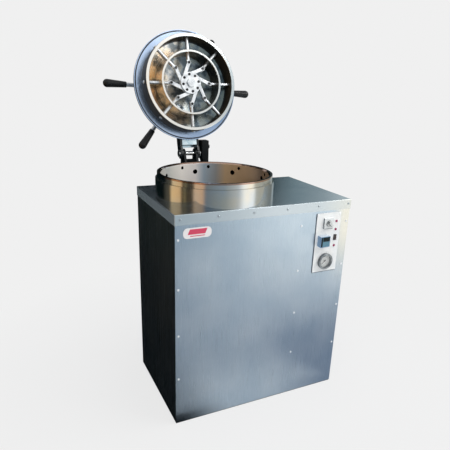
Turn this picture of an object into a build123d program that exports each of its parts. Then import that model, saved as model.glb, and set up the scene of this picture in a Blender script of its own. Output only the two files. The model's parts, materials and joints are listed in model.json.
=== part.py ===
from build123d import *
import os
from math import atan2, cos, degrees, hypot, radians, sin, sqrt

# Top-loading steam autoclave: a sheet-steel cabinet round a vertical pressure vessel, with a hinged
# lid that eight radial locking bolts hold shut.  Millimetres.  The origin is on the floor, under the
# middle of the cabinet: +X to the operator's right, +Y to the back, +Z up.  The lid stands open.

# Cabinet
CABINET_WIDTH = 786
CABINET_DEPTH = 496
CABINET_HEIGHT = 900
SHEET = 1.5             # cover and panel sheet
LAP_GAP = 0.5           # between the cover's flange and the panels that it laps
COVER_FLANGE = 40       # folded edge of the top cover
COVER_BEND = 2.5
PANEL_TOP_GAP = 8       # panels stop this far under the cover's top
PANEL_FLOOR_GAP = 4
TUBE = 30               # square frame tube
TUBE_WALL = 2
BAR_DEPTH = 8           # flat bars where the vessel leaves no room for tube
MULLION_X = 152
MULLION_DEPTH = 20
SPINE_WIDTH = 80        # upright bar behind the vessel, which carries the lid's hinge
VENT_Z = 140            # lowest row of ventilation slots
VENT_HEIGHT = 8
VENT_PITCH = 22
VENT_ROWS = 7
VENT_SPAN_SIDE = (-60, 60)
VENT_SPANS_BACK = ((30, 130), (150, 250))

# Case screws
SCREW_HEAD_R = 4.5
SCREW_HEAD_T = 2.2
SCREW_HEAD_ROUND = 1.5
SCREW_R = 2.0
SCREW_GAP = 0.1         # clearance hole round each shank
SCREW_LENGTH = 9
RECESS_WIDTH = 1.2      # cross recess in each screw's head
RECESS_LENGTH = 5
RECESS_DEPTH = 1.2
SCREW_ROW_Z = 214       # lowest screw of each column
SCREW_ROW_DROP = 95     # highest screw of each column, under the cover's top
SCREW_ROWS = 4
COLUMN_INSET = 14       # screw column from the cabinet's edge
COVER_SCREWS = 6
COVER_SCREW_SHIFT = 8   # first cover screw, in from the column
COVER_SCREW_DROP = 18   # cover screws under the cover's top

# Switchgear enclosure on the right-hand panel
ENCLOSURE_DEPTH = 120
ENCLOSURE_SPAN_Y = (-90, 110)
ENCLOSURE_HEIGHT = 220
ENCLOSURE_DROP = 290    # its top under the cover's top
ENCLOSURE_SHEET = 2
ENCLOSURE_COVER_T = 3
ENCLOSURE_CORNER = 6
CONTACTOR_SIZE = (80, 90, 95)
CONTACTOR_RISE = 60     # above the enclosure's foot

# Pressure vessel
COLLAR_X = -129
COLLAR_Y = 0
COLLAR_HEIGHT = 97      # rim above the cover
COLLAR_STEP = 24        # height of the thinner rim
COLLAR_SHOULDER = 7     # base thicker than the rim
RIM_WALL = 16
MOUTH_STEP = 6          # collar's bore wider than the chamber
MOUTH_CHAMFER = 6
NECK_WALL = 13
NECK_GAP = 1            # between the neck and the cover's hole
NECK_DROP = 30          # neck below the cover's top
CHAMBER_R = 215
CHAMBER_WALL = 4
CHAMBER_FLOOR_Z = 190   # lowest point inside
DISH_DEPTH = 60
VESSEL_LEG_R = 18
WELD_GAP = 0.1          # between the legs' hollowed tops and the dish that they are welded to
VESSEL_LEG_X = 120
VESSEL_LEG_Y = 85
INSULATION_T = 15
INSULATION_RISE = 12    # wool starts this far above the dish's seam
WOOL_GAP = 0.3
RIM_PORT_R = 7
RIM_PORT_ANGLES = (107, 74, 37, -7)
RIM_PORT_DROP = 20
RIM_PORT_SKIN = 5       # metal left behind each port
WEEP_HOLE_R = 2
WEEP_HOLE_DEPTH = 8
WEEP_HOLE_RISE = 6      # above the cover
WEEP_HOLE_ANGLE = -45
GRID_RISE = 47          # load grid above the heaters
GRID_T = 3
GRID_GAP = 4
GRID_HOLE_R = 12
GRID_PITCH = 38
GRID_MARGIN = 6         # metal between the holes and the grid's edge
GRID_LEGS = 3
GRID_LEG_ANGLE = 60
GRID_LEG_R = 6
GRID_LEG_INSET = 45     # grid legs from the chamber's wall
GRID_LEG_MARGIN = 2
GRID_FOOT_GAP = 0.1
HEATER_RISE = 53        # heaters above the dish's lowest point
HEATER_TUBE_R = 5
HEATER_INSETS = (155, 117, 79)          # heater loops, from the chamber's wall
HEATER_OPEN_DEG = 30
TERMINAL_COLLAR = 1.5   # terminals thicker than the heater's tube
TERMINAL_GAP = 0.3
TERMINAL_DROP = 25      # terminals' ends under the dish's lowest point

# Pipework
PIPE_R = 10.65
PIPE_WALL = 2.65
PIPE_HOLE_GAP = 1.85
NOZZLE_WALL = 3         # of the drain's nozzle, round the pipe
STEAM_NOZZLE_WALL = 2
DRAIN_DROP = 80         # drain pipe under the dish's lowest point
DRAIN_BEND = 35
DRAIN_STUB = 12         # straight pipe above the bend
VALVE_BEHIND = 44       # drain valve's middle behind the cabinet
VALVE_HALF = 30
VALVE_BODY_R = 18
VALVE_BODY_HALF = 17
VALVE_FLATS = 30
VALVE_NECK_R = 9
VALVE_NECK_RISE = 26
VALVE_STEM_R = 5
STEM_SEAT = 16          # stem's socket above the pipe's axis
STEM_END_GAP = 0.5
OUTLET_LENGTH = 55      # from the valve's middle
LEVER_LENGTH = 95
LEVER_WIDTH = 18
LEVER_T = 4
LEVER_SHIFT = 38.5      # lever's middle from its stem
LEVER_LIFT = 2          # above the valve's neck
STEM_NUT_FLATS = 15
STEM_NUT_T = 5
RELIEF_OUT = 270        # relief valve's axis to the right of the vessel's
RELIEF_Y = 100
RELIEF_DROP = 100       # its inlet under the cover's top
RELIEF_FACE = 28        # inlet's end from the valve's axis
RELIEF_INLET_R = 16
RELIEF_BODY_R = 20
RELIEF_BODY = (-30, 45)
RELIEF_BONNET_R = 14
RELIEF_BONNET_TOP = 78
RELIEF_CAP_FLATS = 22
RELIEF_CAP_T = 10
RELIEF_PASSAGE = 30     # outlet's bore starts this far from the valve's axis
RELIEF_STUB = 32        # outlet beyond the cabinet's back
BACKNUT_FLATS = 32
BACKNUT_T = 8
GLAND_INSET = 93        # cable gland from the cabinet's right edge
GLAND_Z = 200
GLAND_BORE_R = 5
GLAND_THREAD_R = 9.7
GLAND_GAP = 0.3
GLAND_DOME_R = 11.5
GLAND_FLATS = 26
GLAND_NUT = 7           # outer nut's thickness
GLAND_LENGTH = 20
GLAND_LOCKNUT_T = 6
GLAND_INSIDE = 14
GAUGE_LINE_Y = -75      # from the collar's axis
GAUGE_LINE_R = 3
GAUGE_LINE_BEND = 30
GAUGE_BOSS_R = 9
GAUGE_TAP_R = 2

# Lid.  Its own frame: origin at the middle of the flange's underside, +Z away from the chamber,
# +Y towards the hinge.
SEAT_GAP = 0.5          # flange above the collar's rim when shut
LID_FLANGE_T = 12
FLANGE_ROUND = 3
FLANGE_WIDTH = 47       # flat flange outside the dome
DOME_RISE = 22
LID_WALL = 10
HOLLOW_INSET = 4        # dome's inner face starts inside its outer one
BUSH_FLAT_R = 60        # spot face for the bush
BUSH_FLAT_DEPTH = 0.8
PLUG_GAP = 17           # plug ring inside the collar's bore
PLUG_WALL = 14
PLUG_HEIGHT = 72
PLUG_CHAMFER = 1.5
GUIDE_GAP = 14.5        # guide ring beyond the heads of the driven bolts' pins
GUIDE_WALL = 9
GUIDE_CHAMFER = 1
GASKET_INSET = 1.5      # gasket outside the mouth's chamfer
GASKET_WIDTH = 5.5
GASKET_T = 5            # in its groove
GASKET_PROUD = 0.2
GROOVE_GAP = 0.1
HINGE_BEHIND_BACK = 48  # hinge axis behind the cabinet's back
HINGE_RISE = 29         # hinge axis above the flange's underside
LID_OPEN = 103          # degrees from shut to the open rest
HINGE_PIN_R = 10
PIN_HEAD_WALL = 5       # hinge pin's head and shoulder, round the pin
PIN_HEAD_T = 6.8
PIN_END_GAP = 0.2
PIN_TAIL = 30           # pin beyond the arm, into the spring housing
RUNNING = 0.06          # radial clearance of pins and shafts
ARM_OUT_X = 45          # outer faces of the arm's two side plates
ARM_PLATE = 10
ARM_EYE_R = 24
ARM_TOP = 58            # above the flange's underside
ARM_LIFT = 3            # arm's edges above the dome and the flange
ARM_OVERHANG = 60       # arm's end beyond the spindle
ARM_SLOPE = 70          # where the arm starts down, inside the dome's edge
ARM_FOOT_INSET = 32     # foot's front edge inside the flange's edge
ARM_FOOT_LENGTH = 27
ARM_FOOT_HEIGHT = 32
ARM_HEEL = 30           # the arm's corners and webs, behind the foot
ARM_CREST = 18
ARM_LOW_WEB = 26
ARM_HIGH_WEB = 36
ARM_WEB_T = 6
ARM_BOLT_X = 22
ARM_BOLT_INSET = 12
ARM_BOLT_FLATS = 13
ARM_BOLT_HEAD_T = 5
LUG_GAP = 1             # lugs inside the arm's plates
LUG_PLATE = 10
LUG_EYE_R = 22
BRACKET_WIDTH = 100
BRACKET_DROP = 160      # bracket's foot under the cover's top
BRACKET_PAD_GAP = 2     # between the cover's flange and the bracket's pad
BRACKET_BOLT_X = 28
BRACKET_BOLT_RISES = (25, 95)
BRACKET_BOLT_R = 5
BRACKET_BOLT_GAP = 0.1
BRACKET_BOLT_FLATS = 17
BRACKET_BOLT_HEAD_T = 7
BRACKET_WEB_T = 8
BRACKET_WEB_DROP = 45   # web's foot under the shelf
LUG_SHOULDER = 20       # where the lugs' front edge leaves the back plate, under the shelf
SHELF_T = 8
SHELF_DROP = 42         # top of the spring housing's shelf under the hinge axis
SHELF_LIP = 4
HOUSING_IN_X = 53       # spring housing's faces, from the collar's axis
HOUSING_OUT_X = 89
HOUSING_RISE = 58       # its top above the hinge axis
HOUSING_TAPER = 12      # its foot narrower than its body
HOUSING_WAIST = 6       # where the taper ends, under the hinge axis
HOUSING_CORNER = 4
HOUSING_END = 8         # metal beyond the hinge pin's end
HOUSING_WASHER_R = 12
HOUSING_WASHER_T = 2
HOUSING_BOLT_FLATS = 17
HOUSING_BOLT_T = 9

# Locking mechanism
BOLT_COUNT = 8
BOLT_R = 8
BOLT_LEVEL = 42         # bolt axis under the flange's underside
BOLT_SLIDE_GAP = 0.3
BOLT_TIP_GAP = 12       # drawn-back tips inside the collar's bore
BOLT_TIP_CHAMFER = 2
BOLT_TAIL = 10          # bolt's end beyond its pin
BOLT_FLAT = 13          # flat for the link, past the pin
BOLT_PIN_AT = 88
BOLT_PIN_R = 4
BOLT_HEAD_RIM = 2.5     # pin's head wider than the pin
BOLT_HEAD_TOP = 3       # its end above the link
BOLT_TRAVEL = 18
BOLT_HOLE_GAP = 2.5     # collar's blind holes round the bolts
BOLT_HOLE_SPARE = 7     # depth of the collar's blind holes beyond a driven bolt
HUB_PIN_AT = 36
HUB_PIN_R = 3.5
HUB_PIN_PROUD = 2.5
HUB_SWIRL = 54          # hub pins trail their bolts by this angle when drawn back
LINK_WIDTH = 14
LINK_T = 7
LINK_EYE_R = 8
LINK_SLACK = 1.6        # the hub-end eye is loose on its pin: the one open pivot of each linkage
SIDE_GAP = 0.3
SPINDLE_R = 14
SPINDLE_NUT_WALL = 3
SPINDLE_NUT_T = 7
WHEEL_NUT_T = 10
BUSH_WALL = 6
BUSH_FIT = 0.05
BUSH_TAIL = 14          # bush below the dome's inner face
BUSH_FLANGE_GAP = 1     # bush's flange inside the arm's plates
BUSH_FLANGE_T = 8
BUSH_NUT_WALL = 3
BUSH_NUT_T = 9
ARM_CENTRE_T = 8
ARM_CENTRE_LIP = 4      # centre plate beyond the arm's overhang, on the hinge side
ARM_BUSH_GAP = 0.4
DISC_MARGIN = 10        # discs outside the hub pins' circle
DISC_T = 6
CORE_WALL = 6
WHEEL_LEVEL = 80        # bars above the flange's underside
WHEEL_HUB_R = 30
WHEEL_HUB_HEIGHT = 36
WHEEL_HUB_CHAMFER = 3
PRESS_FIT = 0.02
BAR_R = 9
GRIP_LENGTH = 100
GRIP_SOCKET = 60        # depth of the bar in its grip
GRIP_R_IN = 12.5
GRIP_R_OUT = 17.5
LONG_BAR_ANGLE = 3
LONG_BAR_REACH = (352, 352)
CROSS_BAR_ANGLE = 129
CROSS_BAR_REACH = (338, 288)

# Control plate on the front, and what is on it, from the plate's middle
PLATE_INSET = 108       # plate's middle from the cabinet's right edge
PLATE_DROP = 181.5      # and under the cover's top
PLATE_WIDTH = 122
PLATE_HEIGHT = 263
PLATE_T = 4
PLATE_CORNER = 3
PLATE_SCREW_INSET = 6
PLATE_SCREW_R = 1.5
PLATE_SCREW_HEAD_R = 3
PLATE_SCREW_HEAD_T = 1.6
PANEL_FIT = 0.3         # cutouts round what is mounted through them
GAUGE_AT = (-2, -82)
GAUGE_R = 35.5
GAUGE_RIM = 5           # bezel wider than the body behind it
GAUGE_LIP = 8.5         # bezel's face round the window
GAUGE_LIP_T = 3
GAUGE_ROUND = 2.5
GAUGE_PROUD = 12
GAUGE_DEPTH = 33
GAUGE_POCKET = 4        # dial's seat behind the plate's face
GAUGE_STEM_R = 7
GAUGE_STEM = 12
DIAL_UNDERCUT = 2       # dial and glass wider than the window
DIAL_GAP = 0.2          # round the dial and the glass
DIAL_T = 1.4
GLASS_T = 2
PIVOT_R = 1
PIVOT_HEIGHT = 9.5      # above the dial's seat, as the two below
POINTER_LIFT = 6.5
POINTER_HUB = (5, 7.5)
POINTER_REST = 220      # degrees, from +X towards +Z
POINTER_GAP = 5         # tip inside the window's edge
POINTER_TAIL = 8
POINTER_ROOT = 1.3
POINTER_TIP = 0.5
POINTER_T = 0.8
POINTER_HUB_R = 3
CONTROLLER_AT = (-24, 13.5)
CONTROLLER_SIZE = 48
CONTROLLER_PROUD = 23
CONTROLLER_RIM = 1.5    # bezel wider than the body behind it
CONTROLLER_DEPTH = 75
CONTROLLER_CORNER = 2
CONTROLLER_ROUND = 1.2
KEYPAD_INSET = 3
KEYPAD_T = 0.6
KEY_SIZE = (8, 6)
KEY_PITCH = 11
KEY_AT = (-5, -14)      # first key, from the controller's middle
SWITCH_COLUMN = 39.5
LAMP_HEIGHTS = (92.5, 57, -15.5)
LAMP_R = 4
LAMP_RIM = 1.5
LAMP_RIM_T = 1.5
LAMP_DEPTH = 16
ROCKER_HEIGHT = 21
ROCKER_BEZEL = (15, 26)
ROCKER_BEZEL_T = 2
ROCKER_CORNER = 1.5
ROCKER_BODY = (13, 20)
ROCKER_DEPTH = 20
ROCKER_WALL = (1.5, 0.7)
ROCKER_WELL = 14
ROCKER_TILT = 10        # each way from level
ROCKER_AXIS = 2         # trunnions behind the plate's face
PADDLE_GAP = 0.3
PADDLE_END_GAP = 1.1
PADDLE_RISE = 5
PADDLE_WAIST = 3.2
PADDLE_DEPTH = 7
PADDLE_HEEL = 4
TRUNNION_R = 1.2
TRUNNION = 0.9          # beyond the paddle's side
SELECTOR_AT = (-4, 87.5)
SELECTOR_PLATE = 46
SELECTOR_CORNER = 3
SELECTOR_PROUD = 8
SELECTOR_BODY = 34
SELECTOR_DEPTH = 36
SELECTOR_BUSH_R = 6
SELECTOR_BUSH_GAP = 0.1
SELECTOR_SHAFT_R = 3
SHAFT_LENGTH = 16.5     # knob's shaft behind the plate's face
KNOB_R = 13
KNOB_GAP = 0.5          # knob's skirt above the escutcheon
KNOB_SKIRT_T = 6
KNOB_ROUND = 1.5
KNOB_BAR_WIDTH = 9
KNOB_BAR_INSET = 0.5
KNOB_LENGTH = 17
KNOB_MARK = (1.5, 8, 0.6)
KNOB_TURN = 45
BADGE_INSET = 89        # badge's middle from the cabinet's left edge
BADGE_DROP = 73         # and under the cover's top
BADGE_SIZE = (112, 40)
BADGE_CORNER = 17


def cap_radius(chord, rise):
    """Radius of the sphere whose cap has this rise over this half-width."""
    return (chord ** 2 + rise ** 2) / (2 * rise)


# Worked out from the sizes above
HALF_X = CABINET_WIDTH / 2
HALF_Y = CABINET_DEPTH / 2
PANEL_X = HALF_X - SHEET - LAP_GAP      # outer faces of the panels
PANEL_Y = HALF_Y - SHEET - LAP_GAP
FRAME_X = PANEL_X - SHEET               # outer faces of the frame
FRAME_Y = PANEL_Y - SHEET
FRAME_TOP = CABINET_HEIGHT - SHEET
PANEL_TOP = CABINET_HEIGHT - PANEL_TOP_GAP
RIM_Z = CABINET_HEIGHT + COLLAR_HEIGHT
NECK_Z = CABINET_HEIGHT - NECK_DROP
SEAT_Z = RIM_Z + SEAT_GAP
HINGE_Y = HALF_Y + HINGE_BEHIND_BACK
HINGE_BEHIND = HINGE_Y - COLLAR_Y       # hinge axis behind the collar's axis
HINGE_Z = SEAT_Z + HINGE_RISE
BRACKET_LOW_Z = CABINET_HEIGHT - BRACKET_DROP
LUG_OUT_X = ARM_OUT_X - ARM_PLATE - LUG_GAP
LUG_IN_X = LUG_OUT_X - LUG_PLATE
SHELF_Z = HINGE_Z - SHELF_DROP
SHELL_R = CHAMBER_R + CHAMBER_WALL
NECK_R = CHAMBER_R + NECK_WALL
COLLAR_BORE_R = CHAMBER_R + MOUTH_STEP
COLLAR_RIM_R = COLLAR_BORE_R + RIM_WALL
COLLAR_BASE_R = COLLAR_RIM_R + COLLAR_SHOULDER
INSULATION_R = SHELL_R + INSULATION_T
DISH_R = cap_radius(CHAMBER_R, DISH_DEPTH)
DISH_CENTRE_Z = CHAMBER_FLOOR_Z + DISH_R
SEAM_Z = CHAMBER_FLOOR_Z + DISH_DEPTH
HEATER_Z = CHAMBER_FLOOR_Z + HEATER_RISE
HEATER_LOOPS = [CHAMBER_R - inset for inset in HEATER_INSETS]
TERMINAL_R = HEATER_TUBE_R + TERMINAL_COLLAR
TERMINAL_LOW_Z = CHAMBER_FLOOR_Z - TERMINAL_DROP
GRID_Z = HEATER_Z + GRID_RISE
GRID_LEG_AT = CHAMBER_R - GRID_LEG_INSET
PIPE_BORE_R = PIPE_R - PIPE_WALL
DRAIN_Z = CHAMBER_FLOOR_Z - DRAIN_DROP
DRAIN_TOP_Z = DRAIN_Z + DRAIN_BEND + DRAIN_STUB
VALVE_Y = HALF_Y + VALVE_BEHIND
RELIEF_X = COLLAR_X + RELIEF_OUT
RELIEF_Z = CABINET_HEIGHT - RELIEF_DROP
RELIEF_END_Y = HALF_Y + RELIEF_STUB
GLAND_X = HALF_X - GLAND_INSET
LID_R = COLLAR_RIM_R
DOME_R = LID_R - FLANGE_WIDTH
PLUG_R = COLLAR_BORE_R - PLUG_GAP
GASKET_R_IN = COLLAR_BORE_R + MOUTH_CHAMFER + GASKET_INSET
GASKET_R_OUT = GASKET_R_IN + GASKET_WIDTH
BOLT_TIP_R = COLLAR_BORE_R - BOLT_TIP_GAP
BOLT_HEAD_R = BOLT_PIN_R + BOLT_HEAD_RIM
BOLT_HOLE_FLOOR = BOLT_TIP_R + BOLT_TRAVEL + BOLT_HOLE_SPARE
GUIDE_R_IN = BOLT_PIN_AT + BOLT_TRAVEL + BOLT_HEAD_R + GUIDE_GAP
GUIDE_R = GUIDE_R_IN + GUIDE_WALL
LINK_FACE = BOLT_LEVEL + BOLT_R / 2     # flat on each bolt's inner end, under the flange's underside
HUB_PIN_ACROSS = HUB_PIN_AT * sin(radians(HUB_SWIRL))
HUB_PIN_ALONG = BOLT_PIN_AT - HUB_PIN_AT * cos(radians(HUB_SWIRL))
LINK_LENGTH = hypot(HUB_PIN_ALONG, HUB_PIN_ACROSS)
LINK_LEAN = degrees(atan2(HUB_PIN_ACROSS, HUB_PIN_ALONG))
DISC_R = HUB_PIN_AT + DISC_MARGIN
BUSH_R = SPINDLE_R + BUSH_WALL
DOME_TOP = LID_FLANGE_T + DOME_RISE
BUSH_SEAT = DOME_TOP - BUSH_FLAT_DEPTH  # flat under the bush's flange
ARM_SEAT = BUSH_SEAT + BUSH_FLANGE_T    # under the arm's centre plate
ARM_FOOT_Y = LID_R - ARM_FOOT_INSET
HOLLOW_CHORD = DOME_R - HOLLOW_INSET
HOLLOW_RISE = DOME_TOP - LID_WALL
HOLLOW_R = cap_radius(HOLLOW_CHORD, HOLLOW_RISE)
PLATE_X = HALF_X - PLATE_INSET
PLATE_Z = CABINET_HEIGHT - PLATE_DROP
PLATE_FACE_Y = -PANEL_Y - PLATE_T       # front of the control plate
GAUGE_X, GAUGE_Z = PLATE_X + GAUGE_AT[0], PLATE_Z + GAUGE_AT[1]
GAUGE_BODY_R = GAUGE_R - GAUGE_RIM
GAUGE_WINDOW_R = GAUGE_R - GAUGE_LIP
CONTROLLER_X, CONTROLLER_Z = PLATE_X + CONTROLLER_AT[0], PLATE_Z + CONTROLLER_AT[1]
CONTROLLER_BODY = CONTROLLER_SIZE - 2 * CONTROLLER_RIM
SWITCH_X = PLATE_X + SWITCH_COLUMN
LAMP_Z = [PLATE_Z + height for height in LAMP_HEIGHTS]
ROCKER_Z = PLATE_Z + ROCKER_HEIGHT
SELECTOR_X, SELECTOR_Z = PLATE_X + SELECTOR_AT[0], PLATE_Z + SELECTOR_AT[1]
BADGE_X = BADGE_INSET - HALF_X
BADGE_Z = CABINET_HEIGHT - BADGE_DROP


def block(x, y, z):
    """A box between the given low and high x, y and z."""
    size = Box(x[1] - x[0], y[1] - y[0], z[1] - z[0])
    return Pos((x[0] + x[1]) / 2, (y[0] + y[1]) / 2, (z[0] + z[1]) / 2) * size


def rod(radius, z0, z1, x=0, y=0):
    """A cylinder that stands on z0."""
    return Pos(x, y, (z0 + z1) / 2) * Cylinder(radius, z1 - z0)


def tube(outer, inner, z0, z1, x=0, y=0):
    return rod(outer, z0, z1, x, y) - rod(inner, z0, z1, x, y)


def rod_y(radius, y0, y1, x, z):
    """A cylinder along Y."""
    return Pos(x, (y0 + y1) / 2, z) * Rot(90, 0, 0) * Cylinder(radius, y1 - y0)


def rod_x(radius, x0, x1, y, z):
    """A cylinder along X."""
    return Pos((x0 + x1) / 2, y, z) * Rot(0, 90, 0) * Cylinder(radius, x1 - x0)


def hexagon(across_flats, z0, z1):
    outline = RegularPolygon(across_flats / sqrt(3), 6)
    return Pos(0, 0, z0) * extrude(outline, z1 - z0)


def turned(points):
    """A solid of revolution about Z from (radius, z) points."""
    face = make_face(Plane.XZ * Polyline(*points, close=True))
    return revolve(face, Axis.Z)


def plate_yz(points, x0, x1):
    """A plate with its outline in (y, z), between x0 and x1."""
    face = make_face(Plane.YZ * Polyline(*points, close=True))
    return Pos(x0, 0, 0) * extrude(face, x1 - x0, dir=(1, 0, 0))


def polar(radius, angle):
    return radius * cos(radians(angle)), radius * sin(radians(angle))


def join(shapes):
    whole = shapes[0]
    for shape in shapes[1:]:
        whole = whole + shape
    return whole


def drill(shapes, cutters):
    """Each shape less all the cutters."""
    tools = Compound(children=[cutter for cutter in cutters])
    return [shape - tools for shape in shapes]


# Casing

def outward_screw(place, turn):
    """A pan-head screw at place, its head facing along turn * Z."""
    head = rod(SCREW_HEAD_R, 0, SCREW_HEAD_T)
    head = fillet(head.edges().group_by(Axis.Z)[-1], SCREW_HEAD_ROUND)
    slot = Pos(0, 0, SCREW_HEAD_T) * Box(RECESS_LENGTH, RECESS_WIDTH, 2 * RECESS_DEPTH)
    screw = head + rod(SCREW_R, -SCREW_LENGTH, 0) - slot - Rot(0, 0, 90) * slot
    return Pos(*place) * turn * screw


def screw_spots():
    """Where the casing's screws are: the point on the face and the turn that faces it outwards."""
    to_front, to_back = Rot(90, 0, 0), Rot(-90, 0, 0)
    spots = []
    column = HALF_X - COLUMN_INSET
    cover_z = CABINET_HEIGHT - COVER_SCREW_DROP
    pitch = (2 * column - COVER_SCREW_SHIFT) / (COVER_SCREWS - 1)
    for i in range(COVER_SCREWS):
        x = -column + COVER_SCREW_SHIFT + i * pitch
        spots.append(((x, -HALF_Y, cover_z), to_front))
        spots.append(((x, HALF_Y, cover_z), to_back))
    pitch = (CABINET_HEIGHT - SCREW_ROW_DROP - SCREW_ROW_Z) / (SCREW_ROWS - 1)
    for i in range(SCREW_ROWS):
        z = SCREW_ROW_Z + i * pitch
        for x in (-column, MULLION_X, column):
            spots.append(((x, -PANEL_Y, z), to_front))
        for x in (-column, column):
            spots.append(((x, PANEL_Y, z), to_back))
    return spots


def screw_holes():
    """Clearance holes for every case screw, a little deeper than its shank."""
    shank = rod(SCREW_R + SCREW_GAP, -SCREW_LENGTH - 0.5, 1)
    return [Pos(*place) * turn * shank for place, turn in screw_spots()]


def bracket_bolt_spots():
    """Hex bolts of the hinge bracket: x and z on the cabinet's back."""
    return [(COLLAR_X + side * BRACKET_BOLT_X, BRACKET_LOW_Z + rise)
            for side in (-1, 1) for rise in BRACKET_BOLT_RISES]


def case_screws():
    """All the casing's screws, the control plate's four and the hinge bracket's bolts."""
    screws = [outward_screw(place, turn) for place, turn in screw_spots()]
    for x, z in plate_screw_spots():
        head = rod_y(PLATE_SCREW_HEAD_R, PLATE_FACE_Y - PLATE_SCREW_HEAD_T, PLATE_FACE_Y, x, z)
        screws.append(head + rod_y(PLATE_SCREW_R, PLATE_FACE_Y, -PANEL_Y, x, z))
    face = HALF_Y + LUG_PLATE
    for x, z in bracket_bolt_spots():
        head = Pos(x, face, z) * Rot(-90, 0, 0) * hexagon(BRACKET_BOLT_FLATS, 0, BRACKET_BOLT_HEAD_T)
        screws.append(head + rod_y(BRACKET_BOLT_R, FRAME_Y - BAR_DEPTH, face, x, z))
    return screws


def square_tube(x, y, z, along):
    """A frame tube: hollow along the named axis."""
    spans = {"x": x, "y": y, "z": z}
    inner = {k: v if k == along else (v[0] + TUBE_WALL, v[1] - TUBE_WALL) for k, v in spans.items()}
    return block(x, y, z) - block(inner["x"], inner["y"], inner["z"])


def cabinet_frame():
    """The welded frame, one solid for each tube and flat bar."""
    low, high = (0, TUBE), (FRAME_TOP - TUBE, FRAME_TOP)
    right = (FRAME_X - TUBE, FRAME_X)
    back = (FRAME_Y - TUBE, FRAME_Y)
    left, front = (-right[1], -right[0]), (-back[1], -back[0])
    between_x, between_y = (left[1], right[0]), (front[1], back[0])
    pieces = []
    for y in (front, back):
        pieces.append(square_tube((-FRAME_X, FRAME_X), y, low, "x"))
    for x in (left, right):
        pieces.append(square_tube(x, between_y, low, "y"))
        pieces.append(square_tube(x, between_y, high, "y"))
        for y in (front, back):
            pieces.append(square_tube(x, y, (TUBE, FRAME_TOP), "z"))
    for side in (-1, 1):
        middle = COLLAR_X + side * VESSEL_LEG_X
        bearer = (middle - TUBE / 2, middle + TUBE / 2)
        pieces.append(square_tube(bearer, between_y, low, "y"))
        outer, inner = side * FRAME_Y, side * (FRAME_Y - BAR_DEPTH)
        pieces.append(block(between_x, (min(outer, inner), max(outer, inner)), high))
    mullion_x = (MULLION_X - TUBE / 2, MULLION_X + TUBE / 2)
    mullion_y = (-FRAME_Y, -FRAME_Y + MULLION_DEPTH)
    pieces.append(square_tube(mullion_x, mullion_y, (TUBE, high[0]), "z"))
    spine_x = (COLLAR_X - SPINE_WIDTH / 2, COLLAR_X + SPINE_WIDTH / 2)
    spine = block(spine_x, (FRAME_Y - BAR_DEPTH, FRAME_Y), (TUBE, high[0]))
    pieces.append(spine - rod_y(PIPE_R + PIPE_HOLE_GAP, 0, HALF_Y, COLLAR_X, DRAIN_Z))
    return drill(pieces, screw_holes() + bracket_bolt_holes())


def bracket_bolt_holes():
    radius, low = BRACKET_BOLT_R + BRACKET_BOLT_GAP, FRAME_Y - BAR_DEPTH - 1
    return [rod_y(radius, low, HALF_Y + 2 * LUG_PLATE, x, z) for x, z in bracket_bolt_spots()]


def front_panel():
    panel = block((-PANEL_X, PANEL_X), (-PANEL_Y, -FRAME_Y), (PANEL_FLOOR_GAP, PANEL_TOP))
    return drill([panel], screw_holes() + panel_cutouts())[0]


def side_panel(side):
    """A plain panel welded to the frame; the right one has ventilation slots."""
    outer, inner = side * PANEL_X, side * FRAME_X
    x = (min(outer, inner), max(outer, inner))
    panel = block(x, (-FRAME_Y, FRAME_Y), (PANEL_FLOOR_GAP, PANEL_TOP))
    if side < 0:
        return panel
    return drill([panel], [block((x[0] - 1, x[1] + 1), VENT_SPAN_SIDE, z) for z in vent_rows()])[0]


def vent_rows():
    """Low and high z of each row of ventilation slots."""
    return [(VENT_Z + i * VENT_PITCH, VENT_Z + i * VENT_PITCH + VENT_HEIGHT) for i in range(VENT_ROWS)]


def back_panel():
    panel = block((-PANEL_X, PANEL_X), (FRAME_Y, PANEL_Y), (PANEL_FLOOR_GAP, PANEL_TOP))
    cutters = screw_holes() + bracket_bolt_holes()
    for x, z in ((COLLAR_X, DRAIN_Z), (RELIEF_X, RELIEF_Z)):
        cutters.append(rod_y(PIPE_R + PIPE_HOLE_GAP, FRAME_Y - 1, PANEL_Y + 1, x, z))
    cutters.append(rod_y(GLAND_THREAD_R + GLAND_GAP, FRAME_Y - 1, PANEL_Y + 1, GLAND_X, GLAND_Z))
    for x in VENT_SPANS_BACK:
        cutters += [block(x, (FRAME_Y - 1, PANEL_Y + 1), z) for z in vent_rows()]
    return drill([panel], cutters)[0]


def top_cover():
    """A folded pan with a round hole for the vessel's neck."""
    span_z = (CABINET_HEIGHT - COVER_FLANGE, CABINET_HEIGHT)
    pan = block((-HALF_X, HALF_X), (-HALF_Y, HALF_Y), span_z)
    folds = pan.edges().filter_by(Axis.Z) + pan.edges().group_by(Axis.Z)[-1]
    pan = fillet(folds, COVER_BEND)
    inside = (CABINET_HEIGHT - COVER_FLANGE, CABINET_HEIGHT - SHEET)
    pan = pan - block((-HALF_X + SHEET, HALF_X - SHEET), (-HALF_Y + SHEET, HALF_Y - SHEET), inside)
    pan = pan - rod(NECK_R + NECK_GAP, span_z[0], span_z[1] + 1, COLLAR_X, COLLAR_Y)
    return drill([pan], screw_holes())[0]


def front_badge():
    """A blank enamelled plate."""
    plate = RectangleRounded(BADGE_SIZE[0], BADGE_SIZE[1], BADGE_CORNER)
    return Pos(BADGE_X, -PANEL_Y, BADGE_Z) * Rot(90, 0, 0) * extrude(plate, SHEET)


# Control plate and what is mounted in it

def plate_screw_spots():
    dx, dz = PLATE_WIDTH / 2 - PLATE_SCREW_INSET, PLATE_HEIGHT / 2 - PLATE_SCREW_INSET
    return [(PLATE_X + sx * dx, PLATE_Z + sz * dz) for sx in (-1, 1) for sz in (-1, 1)]


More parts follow.
